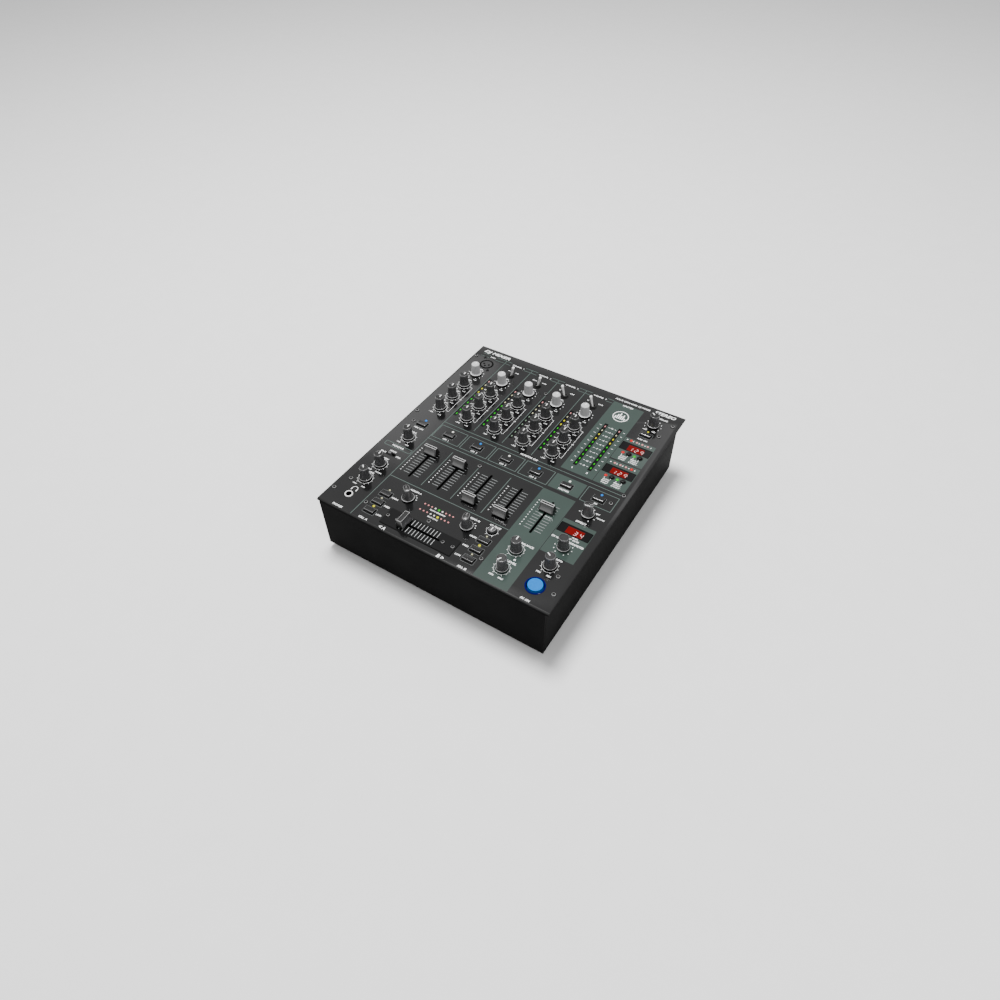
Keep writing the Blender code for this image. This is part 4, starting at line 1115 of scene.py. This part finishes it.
def add_dots(bm, centre, reach):
    """Dots round a knob."""
    for angle in range(-150, 151, 30):
        place = polar(centre, reach, angle)
        add_loft(bm, turned(((0.55, PRINT_BOTTOM), (0.55, WHITE_TOP)), 0, place, 12))


def print_strips(bm):
    """Marks of the microphone strip and the four channel strips."""
    high, mid, low = EQ_Y
    for x in STRIP_X:
        add_dots(bm, (x, GAIN_Y), 11)
        add_words(bm, (("GAIN", x + 1.2, GAIN_Y + 12.2, SMALL_TEXT, 6),
                       ("-20", x - 6.4, GAIN_Y - 12.8, SMALL_TEXT, 5.6),
                       ("+9", x + 6.4, GAIN_Y - 12.8, SMALL_TEXT, 5)))
        for y, name in zip(EQ_Y, ("HIGH", "MID", "LOW")):
            add_dial(bm, (x, y))
            add_words(bm, ((name, x + 1.2, y + 12.2, SMALL_TEXT, 5.2),
                           ("-26", x - 6.2, y - 13, SMALL_TEXT, 6.6),
                           ("+12", x + 7.4, y - 13, SMALL_TEXT, 5)))
        # A bracket joins the three bands, open in the middle for its unit.
        near, side = x + 11, x + 14.2
        for start, end in (
                ((near, high - 1.5), (side, high - 1.5)), ((side, high - 1.3), (side, mid + 1)),
                ((side, mid - 3.4), (side, low - 1.8)), ((near, low - 1.6), (side, low - 1.6))):
            add_bar(bm, start, end, 0.3)
        add_word(bm, "dB", (side, mid - 1.2), SMALL_TEXT)
    scale = list(zip(METER_ROWS, ("-30", "-20", "-15", "-10", "-7", "-4", "-2", "0", "+3", "PK")))
    for x in METER_X:
        add_words(bm, [(words, x + 5.4, y, 1.7, 3.0) for y, words in scale])
    left, right = MASTER_METER_X
    for y, words in scale:
        for start, end in ((left - 7.8, left - 5.2), (left + 5, left + 7.2),
                           (right - 6.4, right - 4.2), (right + 5.6, right + 8.2)):
            add_bar(bm, (start, y), (end, y), 0.45)
        add_word(bm, words, (86, y), 1.9, 3.4)
    add_words(bm, (("L", left, 25, TITLE_TEXT, None), ("R", right, 25, TITLE_TEXT, None)))
    inputs = (("PH", -94.3, 4), ("LINE", -81.7, 5), ("PHONO", -52.6, 7), ("LINE", -37.1, 6.6),
              ("CD", -12.0, 2.6), ("LINE", 7.2, 7), ("CD", 31.7, 2.8), ("LINE", 50.8, 7))
    add_words(bm, [(words, x, 151.1, SMALL_TEXT, width) for words, x, width in inputs])


def print_left_column(bm):
    """Marks round the headphone controls."""
    x = MIC_X
    for y, name, low, high, width in (
            (-37.5, "TALK", "OFF", "MAX", 5.4), (-96, "MIX", "CUE", "MASTER", 9.4),
            (-125, "LEVEL", "MIN", "MAX", 5.4)):
        add_dial(bm, (x, y))
        add_words(bm, ((name, x + 0.4, y + 11.6, LABEL_TEXT, 8),
                       (low, x - 6, y - 13.3, SMALL_TEXT, 5.4),
                       (high, x + 7.2, y - 13.3, SMALL_TEXT, width)))
    add_words(bm, (("MONITOR", -132, -59.2, TITLE_TEXT, 17.5), ("MODE", x - 0.4, -69, LABEL_TEXT, 10),
                   ("SPLIT", -143, -75, LABEL_TEXT, 9), ("MIX", -119.6, -75, LABEL_TEXT, 7),
                   ("PHONES", -131.2, -177.6, TITLE_TEXT, 14.6)))
    # The headphone sign over the jack.
    icon_x, icon_y = -131, -146
    add_arc(bm, (icon_x, icon_y), 3.5, 4.0, -92, 92)
    for at in (icon_x - 3.6, icon_x + 3.6):
        add_bar(bm, (at, icon_y - 0.2), (at, icon_y - 2.8), 1.2)


def print_fader_scales(bm):
    """Ticks beside the faders' slots, and their numerals, which go to the white print."""
    ticks = bmesh.new()
    step = FADER_TRAVEL / 10
    first = FADER_MIDDLE_Y + FADER_TRAVEL / 2
    for x in (*CHANNEL_X, MASTER_X):
        for tick in range(11):
            y = first - step * tick
            for side in (-1, 1):
                add_bar(ticks, (x + side * 2.8, y), (x + side * 11.4, y), 0.6, LINE_TOP)
            add_word(bm, str(10 - tick), (x - 16.4, y), 1.4, 1.5)
    make_piece("print_scales", ticks, ("grey_print_and_bezel_highlight",))
    ticks = bmesh.new()
    high = PLATE_HIGH.z
    for tick in range(-5, 6):
        x = CROSSFADER_MIDDLE_X + 4.5 * tick
        for side in (-1, 1):
            start, end = (x, CROSSFADER_Y + side * 1.9), (x, CROSSFADER_Y + side * 10.4)
            add_bar(ticks, start, end, 0.65, high + 0.05, high - 0.03)
    make_piece("print_plate_scale", ticks, ("plate_print",))


def print_front(bm):
    """Kill keys, assign knobs, curve knob, beat lamps and the crossfader's ends."""
    for y, name, width in zip(KILL_ROWS_Y, ("HIGH", "MID", "LOW"), (9, 7.6, 7.6)):
        add_words(bm, [(name, x, y - 0.4, LABEL_TEXT, width) for x in (-79, 33.6)])
    foot = -177.6
    add_words(bm, (
        ("KILL", -94.4, foot, TITLE_TEXT, 7.6), ("A", -87.6, foot, TITLE_TEXT, 3),
        ("KILL", 45.6, foot, TITLE_TEXT, 7), ("B", 52, foot, TITLE_TEXT, 3),
        ("ASSIGN", -66.3, -111.2, LABEL_TEXT, 13.5), ("A", -57.6, -111.2, LABEL_TEXT, 2.6),
        ("ASSIGN", 19, -111.2, LABEL_TEXT, 10), ("B", 26.6, -111.2, LABEL_TEXT, 2.8)))
    for centre in ((-66, -125), (18.6, -125)):
        add_ticks(bm, centre, 9.6, 11.2, (-75, -55, -35), 0.6)
    add_dial(bm, spot("crossfader_curve_knob"), 6.9, 60)
    add_words(bm, (
        ("CURVE", 47.5, -108.2, LABEL_TEXT, 15), ("TEMPO", -29, -125.7, SMALL_TEXT, 8.4),
        ("DIFFERENCE", -17.6, -125.7, SMALL_TEXT, 12.8), ("BEAT", -26, -135.7, SMALL_TEXT, 6.6),
        ("SYNC", -18.6, -135.7, SMALL_TEXT, 7.4), ("<", -66.4, foot, 4.6, 4),
        ("A", -61.4, foot, 4.6, 4), ("B", 15.8, foot, 4.6, 4), (">", 21.4, foot, 4.6, 4)))


def print_master_column(bm):
    """Marks round the balance and level knobs, and a ring with level bars."""
    for y, name, x, width, low, low_width, high, high_width in (
            (-125, "BALANCE", 93.2, 16.4, "L", 3, "R", 3),
            (-155, "LEVEL", 90.6, 12.6, "MIN", 6, "MAX", 6.6)):
        add_dial(bm, (MASTER_X, y))
        add_words(bm, ((name, x, y + 12, TITLE_TEXT, width),
                       (low, 79.8, y - 13, LABEL_TEXT, low_width),
                       (high, 91.8, y - 13, LABEL_TEXT, high_width)))
    ring_x, ring_y = 84.5, 143
    add_ring(bm, (ring_x, ring_y), 9.8, 10.7)
    foot = ring_y - 5.5
    for place, height in enumerate((5, 9, 12, 7, 10, 4)):
        x = ring_x - 6.5 + 2.6 * place
        add_bar(bm, (x, foot), (x, foot + height), 1.5)


def print_right_column(bm):
    """Marks round the surround, beat and effects controls."""
    add_dots(bm, spot("surround_knob"), 11)
    add_words(bm, (
        ("MIN", 122, 136.8, SMALL_TEXT, 5.4), ("MAX", 134.5, 136.8, SMALL_TEXT, 5.4),
        ("SURR", 125, 115.8, LABEL_TEXT, 7), ("ON", 132.6, 115.8, LABEL_TEXT, 5),
        ("EFFECT", 128.4, -51, TITLE_TEXT, 13.6), ("MIC", 139, -29, SMALL_TEXT, 5.2),
        ("MASTER", 145, -35, SMALL_TEXT, 10.4), ("PUSH", 133.8, -76.2, 1.9, 7),
        ("SET", 129.2, -79.4, 1.9, 4), ("ENTER", 136.4, -79.4, 1.9, 8),
        ("FX", 110.8, -84.4, TITLE_TEXT, 4.6), ("NO", 116, -84.4, TITLE_TEXT, 4),
        ("PARAMETER", 139.6, -84.4, TITLE_TEXT, 19), ("DEPTH", 134, -113, LABEL_TEXT, 8),
        ("MIN", 122, -138, LABEL_TEXT, 5.6), ("MAX", 134.8, -138, LABEL_TEXT, 5.6),
        ("FX", 125.2, -177.5, TITLE_TEXT, 4.8), ("ON", 131.4, -177.5, TITLE_TEXT, 5.4)))
    add_ticks(bm, spot("fx_select_knob"), 9.8, 11.4, (-150, -110, -60, -20, 90), 0.7)
    add_dots(bm, spot("fx_parameter_encoder"), 10.6)
    add_dial(bm, spot("fx_depth_knob"))
    for y in BEAT_BARS_Y:
        add_words(bm, [(digit, 111.8 + 8.1 * place, y, SMALL_TEXT, 1.8)
                       for place, digit in enumerate("12345")])
    for row_y in BEAT_ROWS_Y:
        for at in (117.3, 125.5, 133.0, 140.5):
            add_bar(bm, (at, row_y - 3.2), (at, row_y - 4.8), 0.7)
        for line, (left, right, width) in enumerate((
                ("AUTO", "BEAT", 10.5), ("BPM", "ASSIST", 10.5), ("TAP", "START", 12))):
            y = row_y - 6.6 - 3.1 * line
            add_words(bm, ((left, 120.8, y, SMALL_TEXT, 9), (right, 136.4, y, SMALL_TEXT, width)))


def make_white_print():
    bm = bmesh.new()
    for section in (print_fader_scales, print_headers, print_strips, print_left_column, print_front,
                    print_master_column, print_right_column):
        section(bm)
    make_piece("print_white", bm, ("white_print",))


def make_rear_print():
    bm = bmesh.new()
    labels = [("R", 34, 27, 2.8), ("L", 66, 27, 2.8), ("BALANCED OUTPUTS", 50, 60, 3.0),
              ("POWER", 98, 52, 2.8), ("AC INPUT", 128, 52, 2.8), ("0", 98, 23.4, 2.2)]
    sockets = []
    for number, x in enumerate((-22, -50, -78, -106), 1):
        sockets += [(f"CH {number}", x, 41.2, 3.0), ("LINE", x, 68.2, 2.4), ("PHONO", x, 34.2, 2.4)]
        for at, letter in ((x + PHONO_APART, "L"), (x - PHONO_APART, "R")):
            sockets += [(letter, at, 48.2, 2), (letter, at, 14.2, 2)]
    for text, x, z, height in sockets + labels:
        add_word(bm, text, (-x, z), height, None, -0.03, 0.06, 0.0, REAR)
    make_piece("print_rear", bm, ("white_print",))


# ---------------------------------------------------------------- moving pieces

def add_pointer(bm, width, stations):
    """Raised stroke along +Y through (y, bottom, top) stations."""
    half = width / 2
    add_loft(bm, [[Vector(p) for p in ((-half, y, low), (half, y, low), (half, y, high),
                                       (-half, y, high))]
                  for y, low, high in stations], [2] * (len(stations) + 1))


def add_side_line(bm, half, stations):
    """Stroke up a knob's side through (inner y, outer y, z) stations. Returns its top corners."""
    rings = [[Vector((x, y, z)) for x, y in ((-half, inner), (half, inner), (half, outer),
                                             (-half, outer))]
             for inner, outer, z in stations]
    add_loft(bm, rings, [2, 2, 2])
    return rings[-1]


def knob_mesh(radii, height, flutes=20, pointer=True, groove=0.55,
              looks=("knob", "knob_rim", "pointer", "knob_edge", "knob_top", "black")):
    """Fluted knob. With the default looks its flank is painted lighter than its top, a painted light,
    and its skirt's chamfer and top shoulder carry painted highlights. radii are the skirt's, the
    body's foot and its top.
    """
    skirt, foot, top = radii
    crown = height - 1.0
    # Each station is a radius, a height, how deep the grooves are and a number in looks.
    # Look 3 on the skirt's chamfer and look 1 on the top's shoulder are painted highlights.
    stations = (
        (SHAFT_RADIUS, -SHAFT_LENGTH, 0, 4), (SHAFT_RADIUS, KNOB_LIFT, 0, 4),
        (skirt - 0.3, KNOB_LIFT, 0, 5), (skirt, KNOB_LIFT + 0.3, 0, 5),
        (skirt, KNOB_LIFT + 1.1, 0, 5), (skirt - 0.3, KNOB_LIFT + 1.5, 0, 3),
        (foot + 0.35, KNOB_LIFT + 1.6, 0, 4), (foot, 2.9, groove / 3, 4),
        (foot - 0.05, 3.6, groove, 0), (top + 0.12, crown - 1, groove, 0), (top, crown, groove, 0),
        (top - 0.4, height - 0.1, groove / 2, 1), (top - 0.65, height, 0, 1),
        (top - 1.0, height - 0.05, 0, 4), (top - 1.4, height - 0.35, 0, 4))
    bm = bmesh.new()
    rings = [fluted(r, z, flutes, depth) for r, z, depth, look in stations]
    add_loft(bm, rings, [look for *station, look in stations] + [4])
    if pointer:
        reach = top - 0.9
        add_pointer(bm, 0.95, ((0.4, height - 0.5, height - 0.12),
                               (reach - 0.4, height - 0.5, height - 0.02),
                               (reach, height - 0.6, height - 0.04)))
        corners = add_side_line(bm, 0.45, ((foot - 0.7, foot + 0.08, 3.4),
                                           (top - 0.7, top + 0.1, crown - 0.1)))
        start = [corner + Vector((0, 0, 0.02)) for corner in corners]
        end = [Vector((corner.x, corner.y - 0.85, height - 0.12)) for corner in corners]
        add_loft(bm, [start, end], [2, 2, 2])
    return finished_mesh("knob", bm, looks, 30)


def low_knob_mesh():
    """Flat trimmer with a slot across its face."""
    bm = bmesh.new()
    rings = [fluted(r, z, 24, depth, 6) for r, z, depth in (
        (SHAFT_RADIUS, -SHAFT_LENGTH, 0), (SHAFT_RADIUS, 1, 0), (4.7, 1, 0), (4.9, 1.3, 0),
        (4.9, 2.2, 0.25), (4.3, 4.0, 0.25), (3.9, 4.5, 0), (3.2, 4.5, 0), (2.9, 4.0, 0))]
    # Look 1 on the top's chamfer is a painted highlight.
    add_loft(bm, rings, [0, 0, 0, 0, 0, 0, 1, 0, 0, 0])
    add_pointer(bm, 0.8, ((-2.6, 3.8, 4.2), (2.6, 3.8, 4.2)))
    return finished_mesh("trimmer", bm, ("knob", "knob_edge", "pointer"), 30)


def pointer_knob_mesh():
    """Tapering grip on a round skirt, with a white bar at the pointing end."""
    sides = 96

    def grip(half_x, half_y, height, power=2.8):
        """Oval that nears a rectangle as the power grows."""
        ring = []
        for step in range(sides):
            angle = 2 * math.pi * (step + 0.5) / sides
            c, s = math.cos(angle), math.sin(angle)
            x = half_x * math.copysign(abs(c) ** (2 / power), c)
            y = half_y * math.copysign(abs(s) ** (2 / power), s)
            ring.append(Vector((x, y, height)))
        return ring

    rings = turned((
        (SHAFT_RADIUS, -SHAFT_LENGTH), (SHAFT_RADIUS, KNOB_LIFT), (7.6, KNOB_LIFT),
        (7.9, KNOB_LIFT + 0.3), (7.9, KNOB_LIFT + 1.1), (7.5, KNOB_LIFT + 1.5),
        (7.0, KNOB_LIFT + 1.6)), sides=sides)
    rings.append(grip(5.8, 6.9, 2.75, 2.1))
    rings += [grip(*station) for station in (
        (5.2, 6.7, 3.6), (4.6, 6.2, 8), (4.1, 5.8, KNOB_HEIGHT - 1.2),
        (3.6, 5.3, KNOB_HEIGHT - 0.2), (3.2, 4.9, KNOB_HEIGHT))]
    bm = bmesh.new()
    # Look 1 on the skirt's chamfer and look 3 on the grip's top edge are painted highlights.
    add_loft(bm, rings, [4, 4, 4, 4, 4, 1, 4, 4, 0, 0, 0, 3, 3, 4])
    half = 0.8
    add_pointer(bm, 2 * half, ((0.4, KNOB_HEIGHT - 0.4, KNOB_HEIGHT),
                               (4.6, KNOB_HEIGHT - 0.4, KNOB_HEIGHT)))
    add_side_line(bm, half, ((6.0, 6.62, 4), (5.0, 5.7, KNOB_HEIGHT - 1.4)))
    looks = ("knob", "knob_edge", "pointer", "knob_rim", "knob_top")
    return finished_mesh("pointer_knob", bm, looks, 30)


def make_knobs():
    """Caps on their CAD nodes. Knobs of one kind share a mesh."""
    slim, stout, gain = (7.6, 6.1, 5.5), (7.6, 6.5, 6.0), (7.8, 6.4, 5.4)
    dark = knob_mesh(slim, KNOB_HEIGHT)
    wide = knob_mesh(stout, KNOB_HEIGHT)
    plain = knob_mesh(stout, KNOB_HEIGHT, pointer=False)
    # The white knobs' shoulder, pointer and skirt chamfer share one bright white: print on the
    # pointer, painted highlight on the rest.
    white = knob_mesh(gain, GAIN_KNOB_HEIGHT, 18, True, 0.9,
                      ("white_knob", "white_print_and_edge_highlight", "white_print_and_edge_highlight", "white_print_and_edge_highlight", "white_knob", "black"))

    def put(node, mesh, degrees=0):
        name = node.replace("knob", "cap") if "knob" in node else f"{node}_cap"
        place_piece(name, mesh, node, [node], (*spot(node), TOP), math.radians(degrees))

    for strip in STRIPS:
        put(f"gain_knob_{strip}", white)
        for band in EQ_BANDS:
            put(f"eq_{band}_knob_{strip}", dark)
    meshes = dict.fromkeys(ROUND_KNOBS[:3], dark) | {"fx_parameter_encoder": plain}
    for node in ROUND_KNOBS:
        put(node, meshes.get(node, wide), degrees=POINTS.get(node, 0))
    put("crossfader_curve_knob", low_knob_mesh())
    grip = pointer_knob_mesh()
    for node, degrees in POINTER_KNOBS.items():
        put(node, grip, degrees=degrees)


def cap_mesh(lift=0.0, ridge_width=4.0, groove_width=2.2, slope_look="cap_slope_painted_light"):
    """Fader cap with scooped slopes and a groove between two light lines. It slides along Y. The
    slopes are painted lighter than the body, a painted light; the two light lines stand partly for a
    printed line and partly for a painted edge highlight, and the rounded corners carry a painted
    highlight.
    """
    foot, shoulder, ridge = 1.8 + lift, 2.9 + lift, 12.0 + lift
    bm = bmesh.new()
    add_loft(bm, [rounded((1.4, 3), 0.2, z) for z in (-12.5, foot)])
    rings = squared((
        ((18.4, 10.8), 0.7, foot), ((19, 11.4), 0.9, foot + 0.4), ((19, 11.4), 0.9, shoulder),
        ((17.7, ridge_width + 0.5), 0.8, ridge - 0.5), ((17.3, ridge_width), 0.6, ridge),
        ((16.4, groove_width), 0.3, ridge), ((16.4, groove_width - 0.1), 0.3, ridge - 0.7)))
    add_loft(bm, rings, [0, 0, 0, 0, 0, 1, 0, 0])
    bmesh.ops.recalc_face_normals(bm, faces=bm.faces)
    sides = [f for f in bm.faces if shoulder < f.calc_center_median().z < ridge - 1]
    slopes = [f for f in sides if abs(f.normal.x) < 0.1]
    # Faces that round the slopes into the flanks take look 3, a painted highlight.
    for face in sides:
        if 0.1 < abs(face.normal.x) < 0.95:
            face.material_index = 3
    bmesh.ops.inset_individual(bm, faces=slopes, thickness=0.5, depth=-0.02)
    for slope in slopes:
        add_scoop(bm, slope, 0.55, 8)
    return finished_mesh("fader_cap", bm, ("cap", "cap_edge", slope_look, "knob_rim"), 25)


def add_scoop(bm, face, depth, steps):
    """Swaps a sloping four-sided face for a hollow that curves from its foot to its top."""
    normal = face.normal.copy()
    corners = sorted(face.verts, key=lambda v: v.co.z)
    low = sorted(corners[:2], key=lambda v: v.co.x)
    high = sorted(corners[2:], key=lambda v: v.co.x)
    bmesh.ops.delete(bm, geom=[face], context="FACES_ONLY")
    rows = [low]
    for step in range(1, steps):
        share = step / steps
        shift = normal * -depth * 4 * share * (1 - share)
        rows.append([bm.verts.new(a.co.lerp(b.co, share) + shift) for a, b in zip(low, high)])
    rows.append(high)
    # Look 2 on the hollow and its ends is the slopes' painted light.
    for under, over in zip(rows, rows[1:]):
        bm.faces.new((under[0], under[1], over[1], over[0])).material_index = 2
    for side in (0, 1):
        bm.faces.new([row[side] for row in rows]).material_index = 2


def make_faders():
    cap = cap_mesh()
    for node in [f"channel_fader_{number}" for number in range(1, 5)] + ["master_fader"]:
        place_piece(f"{node}_cap", cap, node, [node], (*spot(node), TOP))
    # The crossfader's slopes take the knob bodies' lighter paint, also a painted light.
    wide_cap = cap_mesh(PLATE_HIGH.z - TOP, 6.2, 5.6, "knob")
    place_piece("crossfader_cap", wide_cap, "crossfader", ["crossfader"],
                (*spot("crossfader"), TOP), math.pi / 2)


def make_toggles():
    """Flattened levers with blunt ends. The broad sides face left and right."""
    bm = bmesh.new()
    stations = ((0.8, 0.8, -2), (1.7, 1.7, -1.4), (2.0, 2.0, 0), (1.7, 1.7, 1.3), (1.2, 1.3, 2.3),
                (1.3, 1.6, 6), (1.5, 2.0, 12), (1.7, 2.3, 16.5), (1.7, 2.3, 18.1), (1.5, 2.1, 18.4))
    add_loft(bm, [oval(x, y, z, 32) for x, y, z in stations])
    mesh = finished_mesh("lever", bm, ("lever",), 40)
    leans = (TOGGLE_TILT, TOGGLE_TILT, -TOGGLE_TILT, -TOGGLE_TILT)
    for number, (place, lean) in enumerate(zip(TOGGLES, leans), 1):
        node = f"input_toggle_{number}"
        place_piece(f"{node}_lever", mesh, node, [node],
                    (*place, TOP - TOGGLE_PIVOT), lean, "Y")


def add_key(bm, place):
    """Key with a slightly dished top that stops short of its sloping front."""
    # Each station says how much smaller the ring is all round, how far its front edge has
    # moved back, and its height.
    stations = ((0, 0, -KEY_DEPTH), (0, 0, 1.4), (0.4, 0.9, 2.3), (0.9, 1.2, KEY_HEIGHT),
                (1.3, 1.2, KEY_HEIGHT), (4.5, 1.2, KEY_HEIGHT - 0.15))
    rings = []
    for inset, slope, z in stations:
        size = (KEY[0] - inset, KEY[1] - inset - slope)
        rings.append(rounded(size, 0.6, TOP + z, (place[0], place[1] + slope / 2)))
    # Look 2 on the band round the top's edge is a painted highlight.
    add_loft(bm, rings, [0, 0, 0, 2, 1, 1, 1])


def add_web(bm, size, centre):
    """Bar under the panel that joins the keys of a group."""
    add_slab(bm, size, centre, TOP - KEY_DEPTH, TOP - KEY_DEPTH + 1.5, 0.3)


def make_keys():
    web = 3
    for node, places in (("row_buttons", ROW_KEYS), ("kill_buttons_a", KILL_A_KEYS),
                         ("kill_buttons_b", KILL_B_KEYS), ("surround_on_button", [SURROUND_KEY])):
        bm = bmesh.new()
        for place in places:
            add_key(bm, place)
        for (x, y), (next_x, next_y) in zip(places, places[1:]):
            gap_x, gap_y = abs(next_x - x) - KEY[0], abs(next_y - y) - KEY[1]
            size = (gap_x + 0.4, web) if gap_x > 0 else (web, gap_y + 0.4)
            add_web(bm, size, ((x + next_x) / 2, (y + next_y) / 2))
        make_piece(f"{node}_caps", bm, ("key", "key_top", "knob_rim"), node, [node],
                   sharp=40)
    bm = bmesh.new()
    radius = BEAT_KEY_RADIUS
    profile = ((radius, -KEY_DEPTH), (radius, 1.9), (radius - 0.25, 2.35), (radius - 0.7, 2.5),
               (radius - 1.2, 2.45))
    for place in BEAT_KEYS:
        add_loft(bm, turned(profile, TOP, place, 40))
    for y in BEAT_ROWS_Y:
        add_web(bm, (35, web), (123, y))
    add_web(bm, (web, 45), (106, 58))
    make_piece("beat_buttons_caps", bm, ("key",), "beat_buttons", ["beat_buttons"],
               sharp=40)
    bm = bmesh.new()
    profile = ((9, -KEY_DEPTH), (9, 1.2), (8.9, 1.7), (8.5, 2.15), (8.1, 2.4), (4, 2.4))
    # Look 1 on the lens's side is its painted shade.
    add_loft(bm, turned(profile, TOP, FX_BUTTON, 96), [1, 1, 1, 1, 0, 0, 0])
    make_piece("fx_on_lens", bm, ("fx_lens", "fx_lens_shaded_side"), "fx_on_button",
               ["fx_on_button"], sharp=50)


def make_mode_switch():
    """Slide switch's cap with ribs across its top."""
    x, y = spot("phones_mode_switch")
    bm = bmesh.new()
    add_slab(bm, (3, 2), (x, y), TOP - 8, TOP - 3.5, 0.3)
    add_slab(bm, (4.5, 2.6), (x, y), TOP - 3.48, TOP + 2.1, 0.4, 0.2)
    for rib in (-1.4, 0, 1.4):
        add_slab(bm, (0.6, 2.3), (x + rib, y), TOP + 2.0, TOP + 2.5, 0.15, 0.1)
    make_piece("phones_mode_cap", bm, ("knob_rim",), "phones_mode_switch",
               ["phones_mode_switch"])


def make_power_rocker():
    """Rocker with a curved face; its upper half is pressed in at rest."""
    low, high = limits("power_switch")
    centre = middle("power_switch")
    wall = TRAY_HIGH.y
    half = (high.z - low.z) / 2
    # Points of the outline are a height and how far out of the wall they stand.
    outline = [(-half + 0.4, 2.9), (-half, -1), (-5, -4.5), (5, -4.5), (half, -1), (half, 0.5),
               (half - 0.5, 0.75)]
    for step in range(1, 10):
        share = step / 10
        height = (half - 0.5) - (2 * half - 1) * share
        outline.append((height, 0.75 + 2.65 * share - 1.0 * math.sin(math.pi * share)))
    outline.append((-half + 0.8, 3.3))
    chamfer = 0.35
    rings = []
    for x, shrink in ((low.x, 0.3), (low.x + chamfer, 0.0), (high.x - chamfer, 0.0), (high.x, 0.3)):
        rings.append([Vector((x, wall + y - math.copysign(shrink, y),
                              centre.z + z - math.copysign(shrink, z))) for z, y in outline])
    bm = bmesh.new()
    add_loft(bm, rings)
    make_piece("power_rocker", bm, ("key",), "power_switch", ["power_switch"],
               sharp=30)


# ---------------------------------------------------------------- stage

CAMERA_PLACE = Vector((0.3576, -0.5738, 0.7255))
CAMERA_AZIMUTH = math.radians(33.087)
CAMERA_ELEVATION = math.radians(46.778)
CAMERA_ROLL = math.radians(-1.0668)
CAMERA_LENS = 26.54
CAMERA_SENSOR = 36


def make_camera():
    az, el = CAMERA_AZIMUTH, CAMERA_ELEVATION
    back = Vector((math.sin(az) * math.cos(el), -math.cos(az) * math.cos(el), math.sin(el)))
    right = Vector((math.cos(az), math.sin(az), 0))
    up = back.cross(right)
    c, s = math.cos(CAMERA_ROLL), math.sin(CAMERA_ROLL)
    right, up = right * c + up * s, up * c - right * s
    data = bpy.data.cameras.new("camera")
    data.lens = CAMERA_LENS
    data.sensor_width = CAMERA_SENSOR
    camera = bpy.data.objects.new("camera", data)
    turn = Matrix((right, up, back)).transposed().to_4x4()
    camera.matrix_world = Matrix.Translation(CAMERA_PLACE) @ turn
    bpy.context.scene.collection.objects.link(camera)
    bpy.context.scene.camera = camera


def make_light(name, place, target, size, power, shape="DISK"):
    data = bpy.data.lights.new(name, "AREA")
    data.shape = shape
    data.size, data.size_y = size
    data.energy = power
    light = bpy.data.objects.new(name, data)
    light.location = place
    light.rotation_euler = (Vector(target) - Vector(place)).to_track_quat("-Z", "Y").to_euler()
    bpy.context.scene.collection.objects.link(light)


def make_stage():
    """White floor, plain white surroundings, two lamps and two weak panes. Metres."""
    bm = bmesh.new()
    bmesh.ops.create_grid(bm, x_segments=1, y_segments=1, size=6)
    mesh = bpy.data.meshes.new("floor")
    bm.to_mesh(mesh)
    bm.free()
    mesh.materials.append(finish("floor_paper", 0.86, 0.9, 60, 0.02, 0.01, specular=0.1))
    floor = bpy.data.objects.new("floor", mesh)
    bpy.context.scene.collection.objects.link(floor)
    world = bpy.data.worlds.new("studio")
    world.use_nodes = True
    background = world.node_tree.nodes["Background"]
    background.inputs["Color"].default_value = (1, 1, 1, 1)
    background.inputs["Strength"].default_value = 0.55
    bpy.context.scene.world = world
    middle_of_case = (0, 0, 0.05)
    make_light("top_light", (-0.45, 0.3, 2.6), middle_of_case, (0.9, 0.9), 130)
    make_light("side_light", (1.9, -0.9, 1.2), middle_of_case, (0.6, 0.6), 16)
    # The panel mirrors these panes along its left edge and in its back right corner. They aim
    # a hair off straight down, which settles which way their sides run.
    for name, x, y, size, power in (("left_pane", -1.45, 1.44, (0.64, 0.84), 1.6),
                                    ("right_pane", -0.08, 1.72, (0.60, 0.56), 0.75)):
        make_light(name, (x, y, 1.5), (x, y + 0.0001, 0), size, power, "RECTANGLE")


make_panel()
make_tray()
make_crossfader_plate()
make_screws()
make_feet()
make_phono_sockets()
make_outputs()
make_supply()
make_control_board()
make_toggle_bushings()
make_mic_socket()
make_phones_jack()
make_bezels()
make_displays()
make_lamps()
make_green_areas()
make_lines()
make_white_print()
make_rear_print()
make_knobs()
make_faders()
make_toggles()
make_keys()
make_mode_switch()
make_power_rocker()
make_camera()
make_stage()
